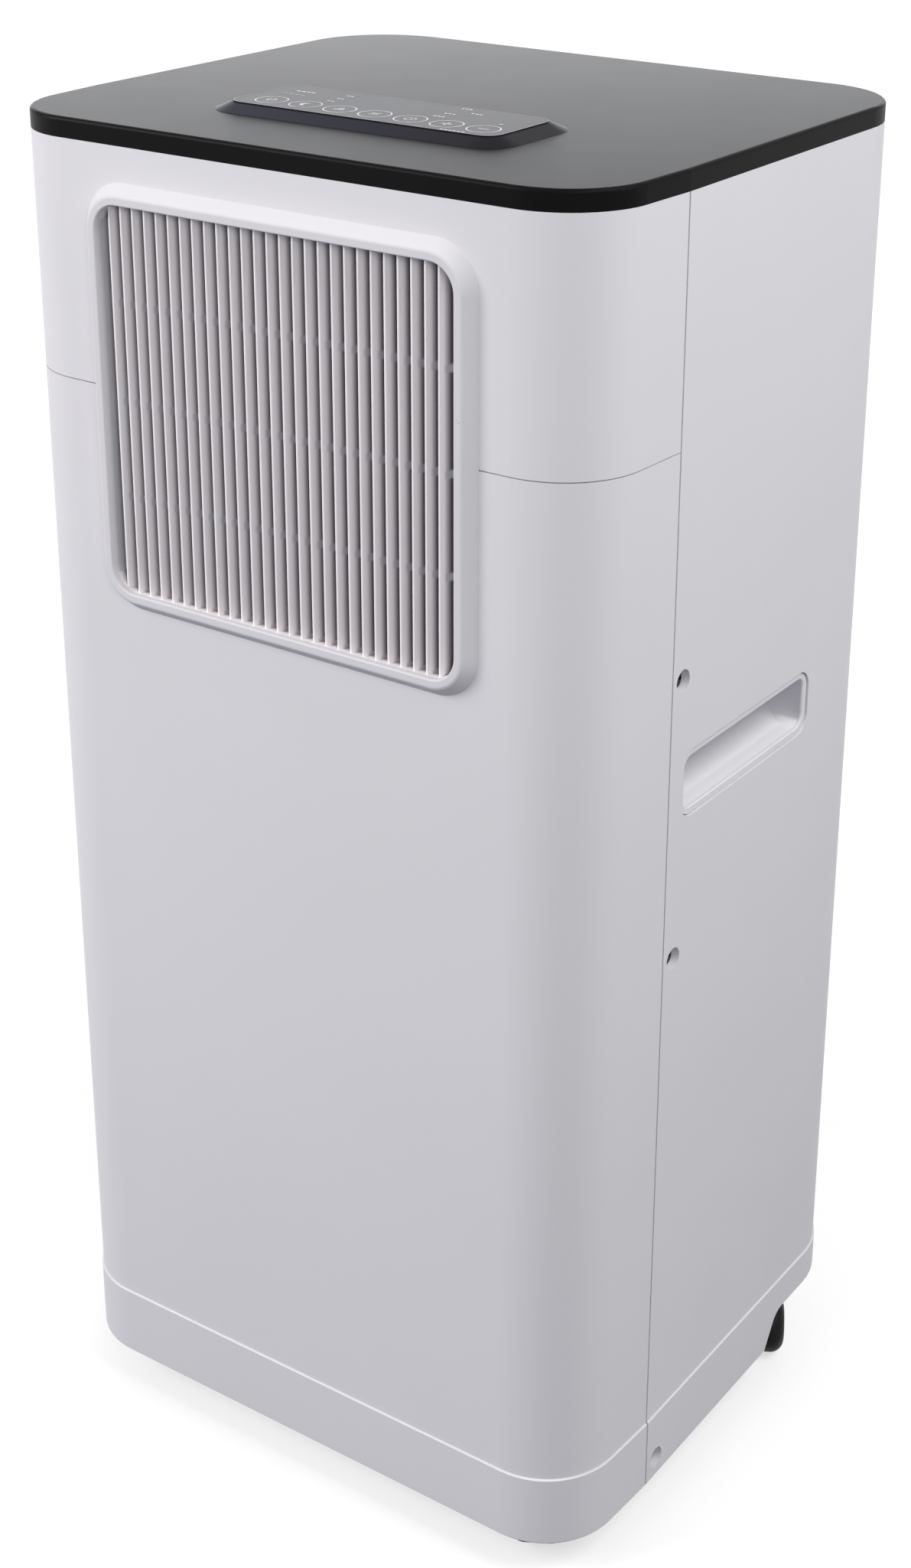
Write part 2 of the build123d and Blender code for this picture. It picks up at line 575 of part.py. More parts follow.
def outlet_grille():
    land_y = FRONT_Y - GRILLE_PROUD
    neck_width = GRILLE_WIDTH - 2 * GRILLE_BEVEL - 2 * FIT
    neck_height = GRILLE_HEIGHT - 2 * GRILLE_BEVEL - 2 * FIT
    neck_radius = GRILLE_RADIUS - GRILLE_BEVEL - FIT
    inner_width = GRILLE_WIDTH - 2 * GRILLE_BEVEL - 2 * GRILLE_LAND
    inner_height = GRILLE_HEIGHT - 2 * GRILLE_BEVEL - 2 * GRILLE_LAND
    inner_radius = GRILLE_RADIUS - GRILLE_BEVEL - GRILLE_LAND
    front = Plane((0, FRONT_Y, GRILLE_Z), x_dir=(1, 0, 0), z_dir=(0, -1, 0))
    foot = RectangleRounded(GRILLE_WIDTH, GRILLE_HEIGHT, GRILLE_RADIUS)
    crest = RectangleRounded(
        GRILLE_WIDTH - 2 * GRILLE_BEVEL,
        GRILLE_HEIGHT - 2 * GRILLE_BEVEL,
        GRILLE_RADIUS - GRILLE_BEVEL,
    )
    frame = loft([front * foot, front * Pos(0, 0, GRILLE_PROUD) * crest], ruled=True)
    frame = fillet(frame.edges().group_by(Axis.Y)[0], GRILLE_CREST_RADIUS)
    neck_end = FRONT_Y + GRILLE_NECK
    frame += rounded_y(neck_width, neck_height, neck_radius, 0, GRILLE_Z, FRONT_Y, neck_end)
    frame -= rounded_y(inner_width, inner_height, inner_radius, 0, GRILLE_Z, land_y, neck_end)
    mouth = frame.faces().sort_by(Axis.Y)[0].inner_wires()[0].edges()
    frame = fillet(mouth, GRILLE_EDGE_RADIUS)
    slat_reach = SLAT_DEPTH * math.cos(math.radians(SLAT_TURN_DEG))
    slat_middle = land_y + SLAT_BEHIND_LAND + slat_reach / 2
    half_height = inner_height / 2 + GRILLE_NECK_WALL / 2
    pitch = (inner_width - 2 * SLAT_END_GAP) / (SLAT_COUNT - 1)
    slat = Box(SLAT_THICKNESS, SLAT_DEPTH, 2 * half_height)
    nose = slat.edges().filter_by(Axis.Z).group_by(Axis.Y)[0]
    slat = fillet(nose, SLAT_NOSE_RADIUS)
    bars = []
    for index in range(SLAT_COUNT):
        x = (index - (SLAT_COUNT - 1) / 2) * pitch
        bars.append(Pos(x, slat_middle, GRILLE_Z) * Rot(0, 0, -SLAT_TURN_DEG) * slat)
    half_width = inner_width / 2 + GRILLE_NECK_WALL / 2
    for index in range(TIE_BAR_COUNT):
        z = GRILLE_Z + ((index + 1) / (TIE_BAR_COUNT + 1) - 0.5) * inner_height
        low = z - TIE_BAR_HEIGHT / 2
        rear = slat_middle + slat_reach / 2
        bars.append(block(-half_width, half_width, rear - TIE_BAR_DEPTH, rear, low, low + TIE_BAR_HEIGHT))
    return frame.fuse(*bars)


def handle_insert():
    """Cup of the right-hand grip; its floor sweeps up into the back wall."""
    face = SIDE_X - HANDLE_RECESS
    outer = rounded_x(HANDLE_WIDTH, HANDLE_HEIGHT, HANDLE_RADIUS, HANDLE_Y, HANDLE_Z, SIDE_X - WALL, face)
    cup_width = HANDLE_WIDTH - 2 * HANDLE_LIP + 2 * HANDLE_WALL
    cup_height = HANDLE_HEIGHT - 2 * HANDLE_LIP + 2 * HANDLE_WALL
    cup_radius = HANDLE_RADIUS - HANDLE_LIP + HANDLE_WALL
    back = SIDE_X - HANDLE_DEPTH - HANDLE_WALL
    cup = rounded_x(cup_width, cup_height, cup_radius, HANDLE_Y, HANDLE_Z, back, SIDE_X - WALL)
    cup_foot = cup.edges().group_by(Axis.X)[0].sort_by(Axis.Z)[0]
    cup = fillet(cup_foot, cup_radius)
    pocket_height = HANDLE_HEIGHT - 2 * HANDLE_LIP
    half = HANDLE_WIDTH / 2 - HANDLE_LIP
    low = HANDLE_Z - pocket_height / 2
    pocket = block(SIDE_X - HANDLE_DEPTH, SIDE_X, HANDLE_Y - half, HANDLE_Y + half, low, low + pocket_height)
    cove = pocket.edges().filter_by(Axis.Y).group_by(Axis.X)[0].sort_by(Axis.Z)[0]
    pocket = fillet(cove, HANDLE_COVE_RADIUS)
    corner_block = rounded_x(
        HANDLE_WIDTH - 2 * HANDLE_LIP,
        pocket_height,
        HANDLE_RADIUS - HANDLE_LIP,
        HANDLE_Y,
        HANDLE_Z,
        SIDE_X - HANDLE_DEPTH,
        SIDE_X,
    )
    insert = outer + cup - (pocket & corner_block)
    mouth = insert.faces().sort_by(Axis.X)[-1].inner_wires()[0].edges()
    return fillet(mouth, HANDLE_EDGE_RADIUS)


def case_screws():
    screws = Part()
    seat = SIDE_X - SCREW_RECESS_DEPTH
    for z in SCREW_HEIGHTS:
        screw = rod_x(SCREW_HEAD_RADIUS, SCREW_Y, z, seat, seat + SCREW_HEAD_HEIGHT)
        screw = fillet(screw.edges().group_by(Axis.X)[-1], SCREW_HEAD_HEIGHT / 3)
        arm = SCREW_HEAD_RADIUS - SCREW_DRIVE
        top = seat + SCREW_HEAD_HEIGHT
        for y_arm, z_arm in ((arm, SCREW_DRIVE / 2), (SCREW_DRIVE / 2, arm)):
            screw -= block(top - SCREW_DRIVE, top, SCREW_Y - y_arm, SCREW_Y + y_arm, z - z_arm, z + z_arm)
        screw += rod_x(SCREW_SHANK_RADIUS, SCREW_Y, z, seat - SCREW_LENGTH, seat)
        for item in both_sides(screw):
            screws += item
    return screws


def intake_cover():
    width = INTAKE_WIDTH - 2 * INTAKE_GAP
    height = INTAKE_HEIGHT - 2 * INTAKE_GAP
    radius = INTAKE_RADIUS - INTAKE_GAP
    inside = REAR_Y - INTAKE_PLATE
    deep = inside - FILTER_THICKNESS
    cover = rounded_y(width, height, radius, 0, INTAKE_Z, deep, REAR_Y)
    cover -= rounded_y(
        width - 2 * INTAKE_RIM, height - 2 * INTAKE_RIM, radius - INTAKE_RIM, 0, INTAKE_Z, deep, inside
    )
    slot_width = (width - (INTAKE_SLOT_COLUMNS + 3) * INTAKE_BAR) / INTAKE_SLOT_COLUMNS
    slots = []
    for row in range(INTAKE_SLOT_ROWS):
        z = INTAKE_Z + (row - (INTAKE_SLOT_ROWS - 1) / 2) * INTAKE_SLOT_PITCH
        for column in range(INTAKE_SLOT_COLUMNS):
            x = (column - (INTAKE_SLOT_COLUMNS - 1) / 2) * (slot_width + INTAKE_BAR)
            low = z - INTAKE_SLOT_HEIGHT / 2
            slots.append(
                block(x - slot_width / 2, x + slot_width / 2, inside, REAR_Y, low, low + INTAKE_SLOT_HEIGHT)
            )
    cover = cover.cut(*slots)
    pull_z = INTAKE_Z + height / 2 - INTAKE_BAR / 2 - INTAKE_PULL_HEIGHT / 2
    half = INTAKE_PULL_WIDTH / 2
    low = pull_z - INTAKE_PULL_HEIGHT / 2
    pull = block(-half, half, REAR_Y, REAR_Y + INTAKE_PULL_PROUD, low, low + INTAKE_PULL_HEIGHT)
    return cover + fillet(pull.edges().group_by(Axis.Y)[-1], INTAKE_PULL_PROUD / 4)


def air_filter():
    width = INTAKE_WIDTH - 2 * INTAKE_GAP - 2 * INTAKE_RIM - 2 * FIT
    height = INTAKE_HEIGHT - 2 * INTAKE_GAP - 2 * INTAKE_RIM - 2 * FIT
    radius = INTAKE_RADIUS - INTAKE_GAP - INTAKE_RIM - FIT
    rear = REAR_Y - INTAKE_PLATE
    front = rear - FILTER_THICKNESS
    frame = rounded_y(width, height, radius, 0, INTAKE_Z, front, rear)
    window_width = width - 2 * FILTER_BORDER
    window_height = height - 2 * FILTER_BORDER
    frame -= rounded_y(window_width, window_height, radius / 2, 0, INTAKE_Z, front, rear)
    net_y = (front + rear) / 2
    wires = []
    for index in range(1, FILTER_COLUMNS):
        x = (index / FILTER_COLUMNS - 0.5) * window_width
        half = window_height / 2 + FILTER_BORDER / 2
        span = (x - FILTER_WIRE / 2, x + FILTER_WIRE / 2, net_y - FILTER_WIRE / 2, net_y + FILTER_WIRE / 2)
        wires.append(block(*span, INTAKE_Z - half, INTAKE_Z + half))
    for index in range(1, FILTER_ROWS):
        z = INTAKE_Z + (index / FILTER_ROWS - 0.5) * window_height
        half = window_width / 2 + FILTER_BORDER / 2
        span = (net_y - FILTER_WIRE / 2, net_y + FILTER_WIRE / 2, z - FILTER_WIRE / 2, z + FILTER_WIRE / 2)
        wires.append(block(-half, half, *span))
    return frame.fuse(*wires)


def exhaust_collar():
    outer = REAR_Y + GRILLE_PROUD
    inner = REAR_Y - COLLAR_DEPTH
    ring = rod_y(COLLAR_RADIUS, 0, COLLAR_Z, inner, outer)
    ring += rod_y(COLLAR_RADIUS + COLLAR_FLANGE, 0, COLLAR_Z, REAR_Y, REAR_Y + COLLAR_FLANGE_THICKNESS)
    return ring - rod_y(HOSE_BORE_RADIUS, 0, COLLAR_Z, inner, outer)


def drain_spout():
    z = BASE_Z + DRAIN_ABOVE_BASE
    pan_rear = REAR_Y - WALL - FIT
    tube = rod_y(SPOUT_RADIUS, DRAIN_X, z, pan_rear - PAN_WALL, REAR_Y + SPOUT_PROUD)
    return tube - rod_y(SPOUT_BORE, DRAIN_X, z, pan_rear - PAN_WALL, REAR_Y + SPOUT_PROUD)


def drain_plug():
    z = BASE_Z + DRAIN_ABOVE_BASE
    seat = REAR_Y + SPOUT_PROUD
    stopper = rod_y(SPOUT_BORE - PLUG_CLEARANCE, DRAIN_X, z, seat - PLUG_LENGTH, seat)
    head = rod_y(PLUG_HEAD_RADIUS, DRAIN_X, z, seat, seat + PLUG_HEAD)
    return stopper + fillet(head.edges().group_by(Axis.Y)[-1], PLUG_HEAD / 4)


def cord_gland():
    z = BASE_Z + GLAND_ABOVE_BASE
    flange = rod_y(GLAND_FLANGE, GLAND_X, z, REAR_Y, REAR_Y + GLAND_FLANGE_THICKNESS)
    flange = fillet(flange.edges().group_by(Axis.Y)[-1], GLAND_FLANGE_THICKNESS / 3)
    neck = rod_y(GLAND_RADIUS, GLAND_X, z, REAR_Y - WALL - GLAND_NUT, REAR_Y)
    nut = rod_y(GLAND_FLANGE, GLAND_X, z, REAR_Y - WALL - GLAND_NUT, REAR_Y - WALL)
    bore = rod_y(GLAND_BORE, GLAND_X, z, REAR_Y - WALL - GLAND_NUT, REAR_Y + GLAND_FLANGE_THICKNESS)
    return flange + neck + nut - bore


def grommet_spots():
    """Three fixing points round the compressor."""
    spots = []
    for index in range(3):
        angle = math.radians(FOOT_TURN_DEG + 120 * index)
        x = COMPRESSOR_X + FOOT_RADIUS * math.cos(angle)
        y = COMPRESSOR_Y + FOOT_RADIUS * math.sin(angle)
        spots.append((x, y))
    return spots


def base_pan():
    edge = WALL + FIT
    pan = body_prism(edge, BASE_Z, BASE_Z + PAN_RIM) - body_prism(edge + PAN_WALL, FLOOR_Z, BASE_Z + PAN_RIM)
    roof = BASE_Z + STEM_LENGTH + SOCKET_ROOF
    for x, y in CASTERS.values():
        pan += rod_z(STEM_RADIUS + SOCKET_WALL, x, y, BASE_Z, roof)
    for x, y in CASTERS.values():
        pan -= rod_z(STEM_RADIUS + RUNNING_FIT, x, y, BASE_Z, BASE_Z + STEM_LENGTH)
    for x, y in grommet_spots():
        pan -= rod_z(BOLT_RADIUS, x, y, BASE_Z, FLOOR_Z)
    pan_rear = REAR_Y - edge
    return pan - rod_y(SPOUT_RADIUS, DRAIN_X, BASE_Z + DRAIN_ABOVE_BASE, pan_rear - PAN_WALL, pan_rear)


def partition_deck():
    edge = WALL + FIT + TONGUE + FIT
    high = DECK_TOP_Z + DECK_RIM
    deck = body_prism(edge, DECK_Z, high) - body_prism(edge + PAN_WALL, DECK_TOP_Z, high)
    low_y = COIL_FRONT_Y
    high_y = COIL_FRONT_Y + COIL_DEPTH
    return deck - block(-SIDE_X, -EVAPORATOR_WIDTH / 2 - COIL_LEAD / 2, low_y, high_y, DECK_Z, high)


def caster_place(corner):
    x, y = CASTERS[corner]
    return Pos(x, y, 0) * Rot(0, 0, CASTER_HEADING_DEG)


def caster_yoke():
    """Yoke about its stem axis, trailing along +X."""
    top = BASE_Z - FIT
    crown = rod_z(YOKE_CROWN_RADIUS, 0, 0, top - YOKE_CROWN, top)
    stem = rod_z(STEM_RADIUS, 0, 0, top, BASE_Z + STEM_LENGTH - FIT)
    web_side = Plane((0, YOKE_WEB / 2, 0), x_dir=(1, 0, 0), z_dir=(0, -1, 0))
    web_points = [
        (-YOKE_CROWN_RADIUS, top - YOKE_CROWN),
        (CASTER_TRAIL - YOKE_HUB_RADIUS, WHEEL_RADIUS - YOKE_HUB_RADIUS / 2),
        (CASTER_TRAIL + YOKE_HUB_RADIUS, WHEEL_RADIUS - YOKE_HUB_RADIUS / 2),
        (CASTER_TRAIL + YOKE_HUB_RADIUS, WHEEL_RADIUS + YOKE_HUB_RADIUS),
        (YOKE_CROWN_RADIUS, top - YOKE_CROWN),
    ]
    web = extrude(web_side * make_face(Polyline(*web_points, close=True)), YOKE_WEB)
    hub = rod_y(YOKE_HUB_RADIUS, CASTER_TRAIL, WHEEL_RADIUS, -YOKE_WEB / 2, YOKE_WEB / 2)
    half = YOKE_WEB / 2 + WHEEL_SIDE_GAP + WHEEL_WIDTH
    inner = WHEEL_RADIUS + HOOD_GAP
    hood = rod_y(inner + HOOD_THICKNESS, CASTER_TRAIL, WHEEL_RADIUS, -half, half)
    hood -= rod_y(inner, CASTER_TRAIL, WHEEL_RADIUS, -half, half)
    span = CASTER_TRAIL - inner - HOOD_THICKNESS
    hood = hood & block(span, CASTER_TRAIL, -half, half, WHEEL_RADIUS, top)
    yoke = crown + stem + web + hub + hood
    clear_low = YOKE_WEB / 2
    clear_high = half + WHEEL_WIDTH
    for side in (-1, 1):
        y0, y1 = sorted((side * clear_low, side * clear_high))
        yoke -= rod_y(inner, CASTER_TRAIL, WHEEL_RADIUS, y0, y1)
    return yoke - rod_y(AXLE_RADIUS + RUNNING_FIT, CASTER_TRAIL, WHEEL_RADIUS, -YOKE_WEB, YOKE_WEB)


def caster_wheels():
    wheels = Part()
    low = YOKE_WEB / 2 + WHEEL_SIDE_GAP
    wheel = rod_y(WHEEL_RADIUS, CASTER_TRAIL, WHEEL_RADIUS, low, low + WHEEL_WIDTH)
    wheel = fillet(wheel.edges().group_by(Axis.Y)[-1], WHEEL_SHOULDER)
    wheel -= rod_y(AXLE_RADIUS, CASTER_TRAIL, WHEEL_RADIUS, low, low + WHEEL_BORE_DEPTH)
    for item in (wheel, mirror(wheel, about=Plane.XZ)):
        wheels += item
    return wheels


def caster_axle():
    half = YOKE_WEB / 2 + WHEEL_SIDE_GAP + WHEEL_BORE_DEPTH
    return rod_y(AXLE_RADIUS, CASTER_TRAIL, WHEEL_RADIUS, -half, half)


def compressor_can():
    can = rod_z(COMPRESSOR_RADIUS, COMPRESSOR_X, COMPRESSOR_Y, CAN_Z, CAN_TOP_Z)
    can = fillet(can.edges().group_by(Axis.Z)[-1], COMPRESSOR_DOME)
    inner = COMPRESSOR_RADIUS - COMPRESSOR_WALL
    core = rod_z(inner, COMPRESSOR_X, COMPRESSOR_Y, CAN_Z, CAN_TOP_Z - COMPRESSOR_WALL)
    core = fillet(core.edges().group_by(Axis.Z)[-1], COMPRESSOR_DOME - COMPRESSOR_WALL)
    return can - core - rod_z(PIPE_RADIUS, COMPRESSOR_X, COMPRESSOR_Y, CAN_TOP_Z - COMPRESSOR_WALL, CAN_TOP_Z)


def compressor_foot_plate():
    low = CAN_Z - FOOT_PLATE
    plate = rod_z(COMPRESSOR_RADIUS, COMPRESSOR_X, COMPRESSOR_Y, low, CAN_Z)
    for x, y in grommet_spots():
        ear = rod_z(FOOT_PAD_RADIUS, x, y, low, CAN_Z)
        middle = ((x + COMPRESSOR_X) / 2, (y + COMPRESSOR_Y) / 2)
        turn = math.degrees(math.atan2(y - COMPRESSOR_Y, x - COMPRESSOR_X))
        arm = Pos(middle[0], middle[1], low + FOOT_PLATE / 2) * Rot(0, 0, turn)
        plate += ear + arm * Box(FOOT_RADIUS, 2 * FOOT_PAD_RADIUS, FOOT_PLATE)
    for x, y in grommet_spots():
        plate -= rod_z(BOLT_RADIUS, x, y, low, CAN_Z)
    return plate


def compressor_grommets():
    grommets = Part()
    for x, y in grommet_spots():
        ring = rod_z(GROMMET_RADIUS, x, y, FLOOR_Z, FLOOR_Z + GROMMET_HEIGHT)
        grommets += ring - rod_z(BOLT_RADIUS, x, y, FLOOR_Z, FLOOR_Z + GROMMET_HEIGHT)
    return grommets


def compressor_bolts():
    bolts = Part()
    for x, y in grommet_spots():
        bolt = rod_z(BOLT_RADIUS, x, y, FLOOR_Z - BOLT_BITE, CAN_Z)
        bolts += bolt + extrude(Pos(x, y, CAN_Z) * RegularPolygon(BOLT_HEAD_RADIUS, 6), BOLT_HEAD)
    return bolts


def suction_accumulator():
    x = COMPRESSOR_X
    high = ACCUMULATOR_Z + ACCUMULATOR_HEIGHT
    tank = rod_z(ACCUMULATOR_RADIUS, x, ACCUMULATOR_Y, ACCUMULATOR_Z, high)
    tank = fillet(tank.edges().group_by(Axis.Z)[-1], ACCUMULATOR_RADIUS / 2)
    tank = fillet(tank.edges().group_by(Axis.Z)[0], ACCUMULATOR_RADIUS / 2)
    low = ACCUMULATOR_Z + ACCUMULATOR_HEIGHT / 2
    arm = block(
        x - ACCUMULATOR_RADIUS / 2,
        x + ACCUMULATOR_RADIUS / 2,
        COMPRESSOR_Y,
        ACCUMULATOR_Y,
        low,
        low + BRACKET_HEIGHT,
    )
    arm -= rod_z(COMPRESSOR_RADIUS, x, COMPRESSOR_Y, low, low + BRACKET_HEIGHT)
    return tank + arm - rod_z(PIPE_RADIUS, x, ACCUMULATOR_Y, high - BRACKET_HEIGHT, high)


def coil_levels(z0, height):
    """Heights of the tube passes of a coil."""
    pitch = (height - 2 * COIL_MARGIN) / (TUBE_PASSES - 1)
    return [z0 + COIL_MARGIN + index * pitch for index in range(TUBE_PASSES)]


def coil_tubes(width, z0, height):
    levels = coil_levels(z0, height)
    pitch = levels[1] - levels[0]
    half = width / 2
    edges = []
    for index, z in enumerate(levels):
        heading = 1 if index % 2 == 0 else -1
        lead_in = COIL_LEAD if index == 0 else 0
        lead_out = COIL_LEAD if index == TUBE_PASSES - 1 else 0
        start = -heading * half - lead_in * heading
        finish = heading * half + lead_out * heading
        edges.append(Line((start, COIL_Y, z), (finish, COIL_Y, z)))
        if index < TUBE_PASSES - 1:
            bulge = (heading * (half + pitch / 2), COIL_Y, z + pitch / 2)
            edges.append(ThreePointArc((finish, COIL_Y, z), bulge, (finish, COIL_Y, z + pitch)))
    path = Wire(edges)
    section = Plane(path @ 0, z_dir=path % 0) * Circle(TUBE_RADIUS)
    return sweep(section, path=path)


def coil_fins(width, z0, height):
    fins = []
    holes = [rod_x(TUBE_RADIUS, COIL_Y, z, -width, width) for z in coil_levels(z0, height)]
    rear = COIL_FRONT_Y + COIL_DEPTH
    for index in range(FIN_COUNT):
        x = (index / (FIN_COUNT - 1) - 0.5) * (width - FIN_THICKNESS)
        fin = block(x - FIN_THICKNESS / 2, x + FIN_THICKNESS / 2, COIL_FRONT_Y, rear, z0, z0 + height)
        fins.append(fin.cut(*holes))
    return Compound(fins)


def pipe(radius, bend, *points):
    path = FilletPolyline(*points, radius=bend)
    section = Plane(path @ 0, z_dir=path % 0) * Circle(radius)
    return sweep(section, path=path)


def discharge_pipe():
    """Hot gas from the head of the compressor to the top of the condenser."""
    z = coil_levels(FLOOR_Z, CONDENSER_HEIGHT)[-1]
    high = CAN_TOP_Z + 2 * PIPE_BEND
    return pipe(
        PIPE_RADIUS,
        PIPE_BEND / 2,
        (COMPRESSOR_X, COMPRESSOR_Y, CAN_TOP_Z - COMPRESSOR_WALL),
        (COMPRESSOR_X, COMPRESSOR_Y, high),
        (PIPE_X, COMPRESSOR_Y, high),
        (PIPE_X, COIL_Y, high),
        (PIPE_X, COIL_Y, z),
        (-CONDENSER_WIDTH / 2 - COIL_LEAD, COIL_Y, z),
    )


def suction_pipe():
    """Cold gas from the foot of the evaporator to the accumulator."""
    z = coil_levels(DECK_TOP_Z, EVAPORATOR_HEIGHT)[0]
    high = CAN_TOP_Z + 5 * PIPE_BEND
    return pipe(
        PIPE_RADIUS,
        PIPE_BEND / 2,
        (-EVAPORATOR_WIDTH / 2 - COIL_LEAD, COIL_Y, z),
        (PIPE_X, COIL_Y, z),
        (PIPE_X, COIL_Y, high),
        (PIPE_X, ACCUMULATOR_Y, high),
        (COMPRESSOR_X, ACCUMULATOR_Y, high),
        (COMPRESSOR_X, ACCUMULATOR_Y, ACCUMULATOR_Z + ACCUMULATOR_HEIGHT - BRACKET_HEIGHT),
    )


def capillary_tube():
    """Thin throttle tube from the foot of the condenser to the top of the evaporator."""
    low = coil_levels(FLOOR_Z, CONDENSER_HEIGHT)[0]
    high = coil_levels(DECK_TOP_Z, EVAPORATOR_HEIGHT)[-1]
    return pipe(
        CAPILLARY_RADIUS,
        PIPE_BEND / 4,
        (-CONDENSER_WIDTH / 2 - COIL_LEAD, COIL_Y, low),
        (CAPILLARY_X, COIL_Y, low),
        (CAPILLARY_X, COIL_Y, high),
        (-EVAPORATOR_WIDTH / 2 - COIL_LEAD, COIL_Y, high),
    )


def volute(radius, neck, inset):
    """Spiral of four growing quarter arcs with a straight neck, seen from the front."""
    step = SCROLL_GROWTH
    r0 = radius - inset
    r1 = r0 + step
    r2 = r1 + step
    r3 = r2 + step
    end = r3 + step
    neck_left = radius + inset
    cos45 = math.sqrt(0.5)
    edges = [
        ThreePointArc((r0, 0), (r0 * cos45, r0 * cos45), (0, r0)),
        ThreePointArc((0, r0), (-r1 * cos45, -step + r1 * cos45), (-r1, -step)),
        ThreePointArc((-r1, -step), (step - r2 * cos45, -step - r2 * cos45), (step, -step - r2)),
        ThreePointArc((step, -step - r2), (step + r3 * cos45, -r3 * cos45), (end, 0)),
        Line((end, 0), (end, neck)),
        Line((end, neck), (neck_left, neck)),
        Line((neck_left, neck), (neck_left, -inset)),
    ]
    if inset > 0:
        edges.append(Line((neck_left, -inset), (r0, -inset)))
        edges.append(Line((r0, -inset), (r0, 0)))
    return make_face(Wire(edges))


def blower_scroll(x, z, wheel_radius, neck, neck_roof, plate):
    """Blower housing: front plate down to its footing, spiral wall, inlet ring at the rear."""
    radius = wheel_radius + FAN_TIP_GAP + SCROLL_WALL
    inside = SCROLL_REAR_Y - SCROLL_WALL
    plate_back = SCROLL_FRONT_Y + SCROLL_WALL
    rear_plane = Plane((x, SCROLL_REAR_Y, z), x_dir=(1, 0, 0), z_dir=(0, -1, 0))
    inner_plane = Plane((x, inside, z), x_dir=(1, 0, 0), z_dir=(0, -1, 0))
    depth = SCROLL_REAR_Y - plate_back
    left, right, low, high = plate
    housing = extrude(rear_plane * volute(radius, neck, 0), depth)
    housing -= extrude(inner_plane * volute(radius, neck - neck_roof, SCROLL_WALL), depth - SCROLL_WALL)
    housing += block(left, right, SCROLL_FRONT_Y, plate_back, low, high)
    housing -= rod_y(wheel_radius - INLET_STEP, x, z, inside, SCROLL_REAR_Y)
    return housing - rod_y(MOTOR_NOSE_RADIUS, x, z, SCROLL_FRONT_Y, plate_back)


def upper_scroll():
    """Upper blower housing, with a discharge window in its front plate."""
    radius = UPPER_WHEEL_RADIUS + FAN_TIP_GAP + SCROLL_WALL
    half = GRILLE_WIDTH / 2
    plate = (-half, half, DECK_TOP_Z, GRILLE_Z + GRILLE_HEIGHT / 2)
    scroll = blower_scroll(UPPER_FAN_SHIFT, GRILLE_Z, UPPER_WHEEL_RADIUS, SCROLL_NECK, SCROLL_WALL, plate)
    low_x = UPPER_FAN_SHIFT + radius + SCROLL_WALL
    high_x = UPPER_FAN_SHIFT + radius + 4 * SCROLL_GROWTH - 2 * SCROLL_WALL
    high_z = GRILLE_Z + SCROLL_NECK - 2 * SCROLL_WALL
    return scroll - block(low_x, high_x, SCROLL_FRONT_Y, SCROLL_FRONT_Y + SCROLL_WALL, GRILLE_Z, high_z)


def lower_scroll():
    """Lower blower housing; its neck runs up to the exhaust box."""
    radius = LOWER_WHEEL_RADIUS + FAN_TIP_GAP + SCROLL_WALL
    neck = EXHAUST_FLOOR_Z - FIT - LOWER_FAN_Z
    half = radius + SCROLL_WALL + 2 * SCROLL_GROWTH
    plate = (LOWER_FAN_X - half, LOWER_FAN_X + half, FLOOR_Z, LOWER_FAN_Z + radius)
    scroll = blower_scroll(LOWER_FAN_X, LOWER_FAN_Z, LOWER_WHEEL_RADIUS, neck, 0, plate)
    return scroll + block(
        LOWER_FAN_X + radius,
        LOWER_FAN_X + radius + 4 * SCROLL_GROWTH,
        SCROLL_FRONT_Y,
        SCROLL_FRONT_Y + SCROLL_WALL,
        LOWER_FAN_Z,
        LOWER_FAN_Z + neck,
    )


def exhaust_box():
    """Turns the hot air from the neck of the lower blower to the exhaust collar."""
    neck_left = LOWER_FAN_X + LOWER_WHEEL_RADIUS + FAN_TIP_GAP + SCROLL_WALL
    neck_right = neck_left + 4 * SCROLL_GROWTH
    left = -COLLAR_RADIUS - SCROLL_WALL
    right = neck_right + SCROLL_WALL
    outer = block(left, right, SCROLL_FRONT_Y, EXHAUST_REAR_Y, EXHAUST_FLOOR_Z, EXHAUST_ROOF_Z)
    wall = SCROLL_WALL
    inner = block(
        left + wall,
        right - wall,
        SCROLL_FRONT_Y + wall,
        EXHAUST_REAR_Y - wall,
        EXHAUST_FLOOR_Z + wall,
        EXHAUST_ROOF_Z - wall,
    )
    mouth = HOSE_BORE_RADIUS + COLLAR_WALL / 2
    box = outer - inner - rod_y(mouth, 0, COLLAR_Z, EXHAUST_REAR_Y - wall, EXHAUST_REAR_Y)
    return box - block(
        neck_left + wall,
        neck_right - wall,
        SCROLL_FRONT_Y + wall,
        SCROLL_REAR_Y - wall,
        EXHAUST_FLOOR_Z,
        EXHAUST_FLOOR_Z + wall,
    )


def outlet_duct():
    """Square duct from the upper blower's front plate to the neck of the grille."""
    width = GRILLE_WIDTH - 2 * GRILLE_BEVEL + 2 * FIT
    height = GRILLE_HEIGHT - 2 * GRILLE_BEVEL + 2 * FIT
    radius = GRILLE_RADIUS - GRILLE_BEVEL + FIT
    start = FRONT_Y + WALL + FIT
    wide = 2 * DUCT_WALL
    duct = rounded_y(width + wide, height + wide, radius + DUCT_WALL, 0, GRILLE_Z, start, SCROLL_FRONT_Y)
    return duct - rounded_y(width, height, radius, 0, GRILLE_Z, start, SCROLL_FRONT_Y)


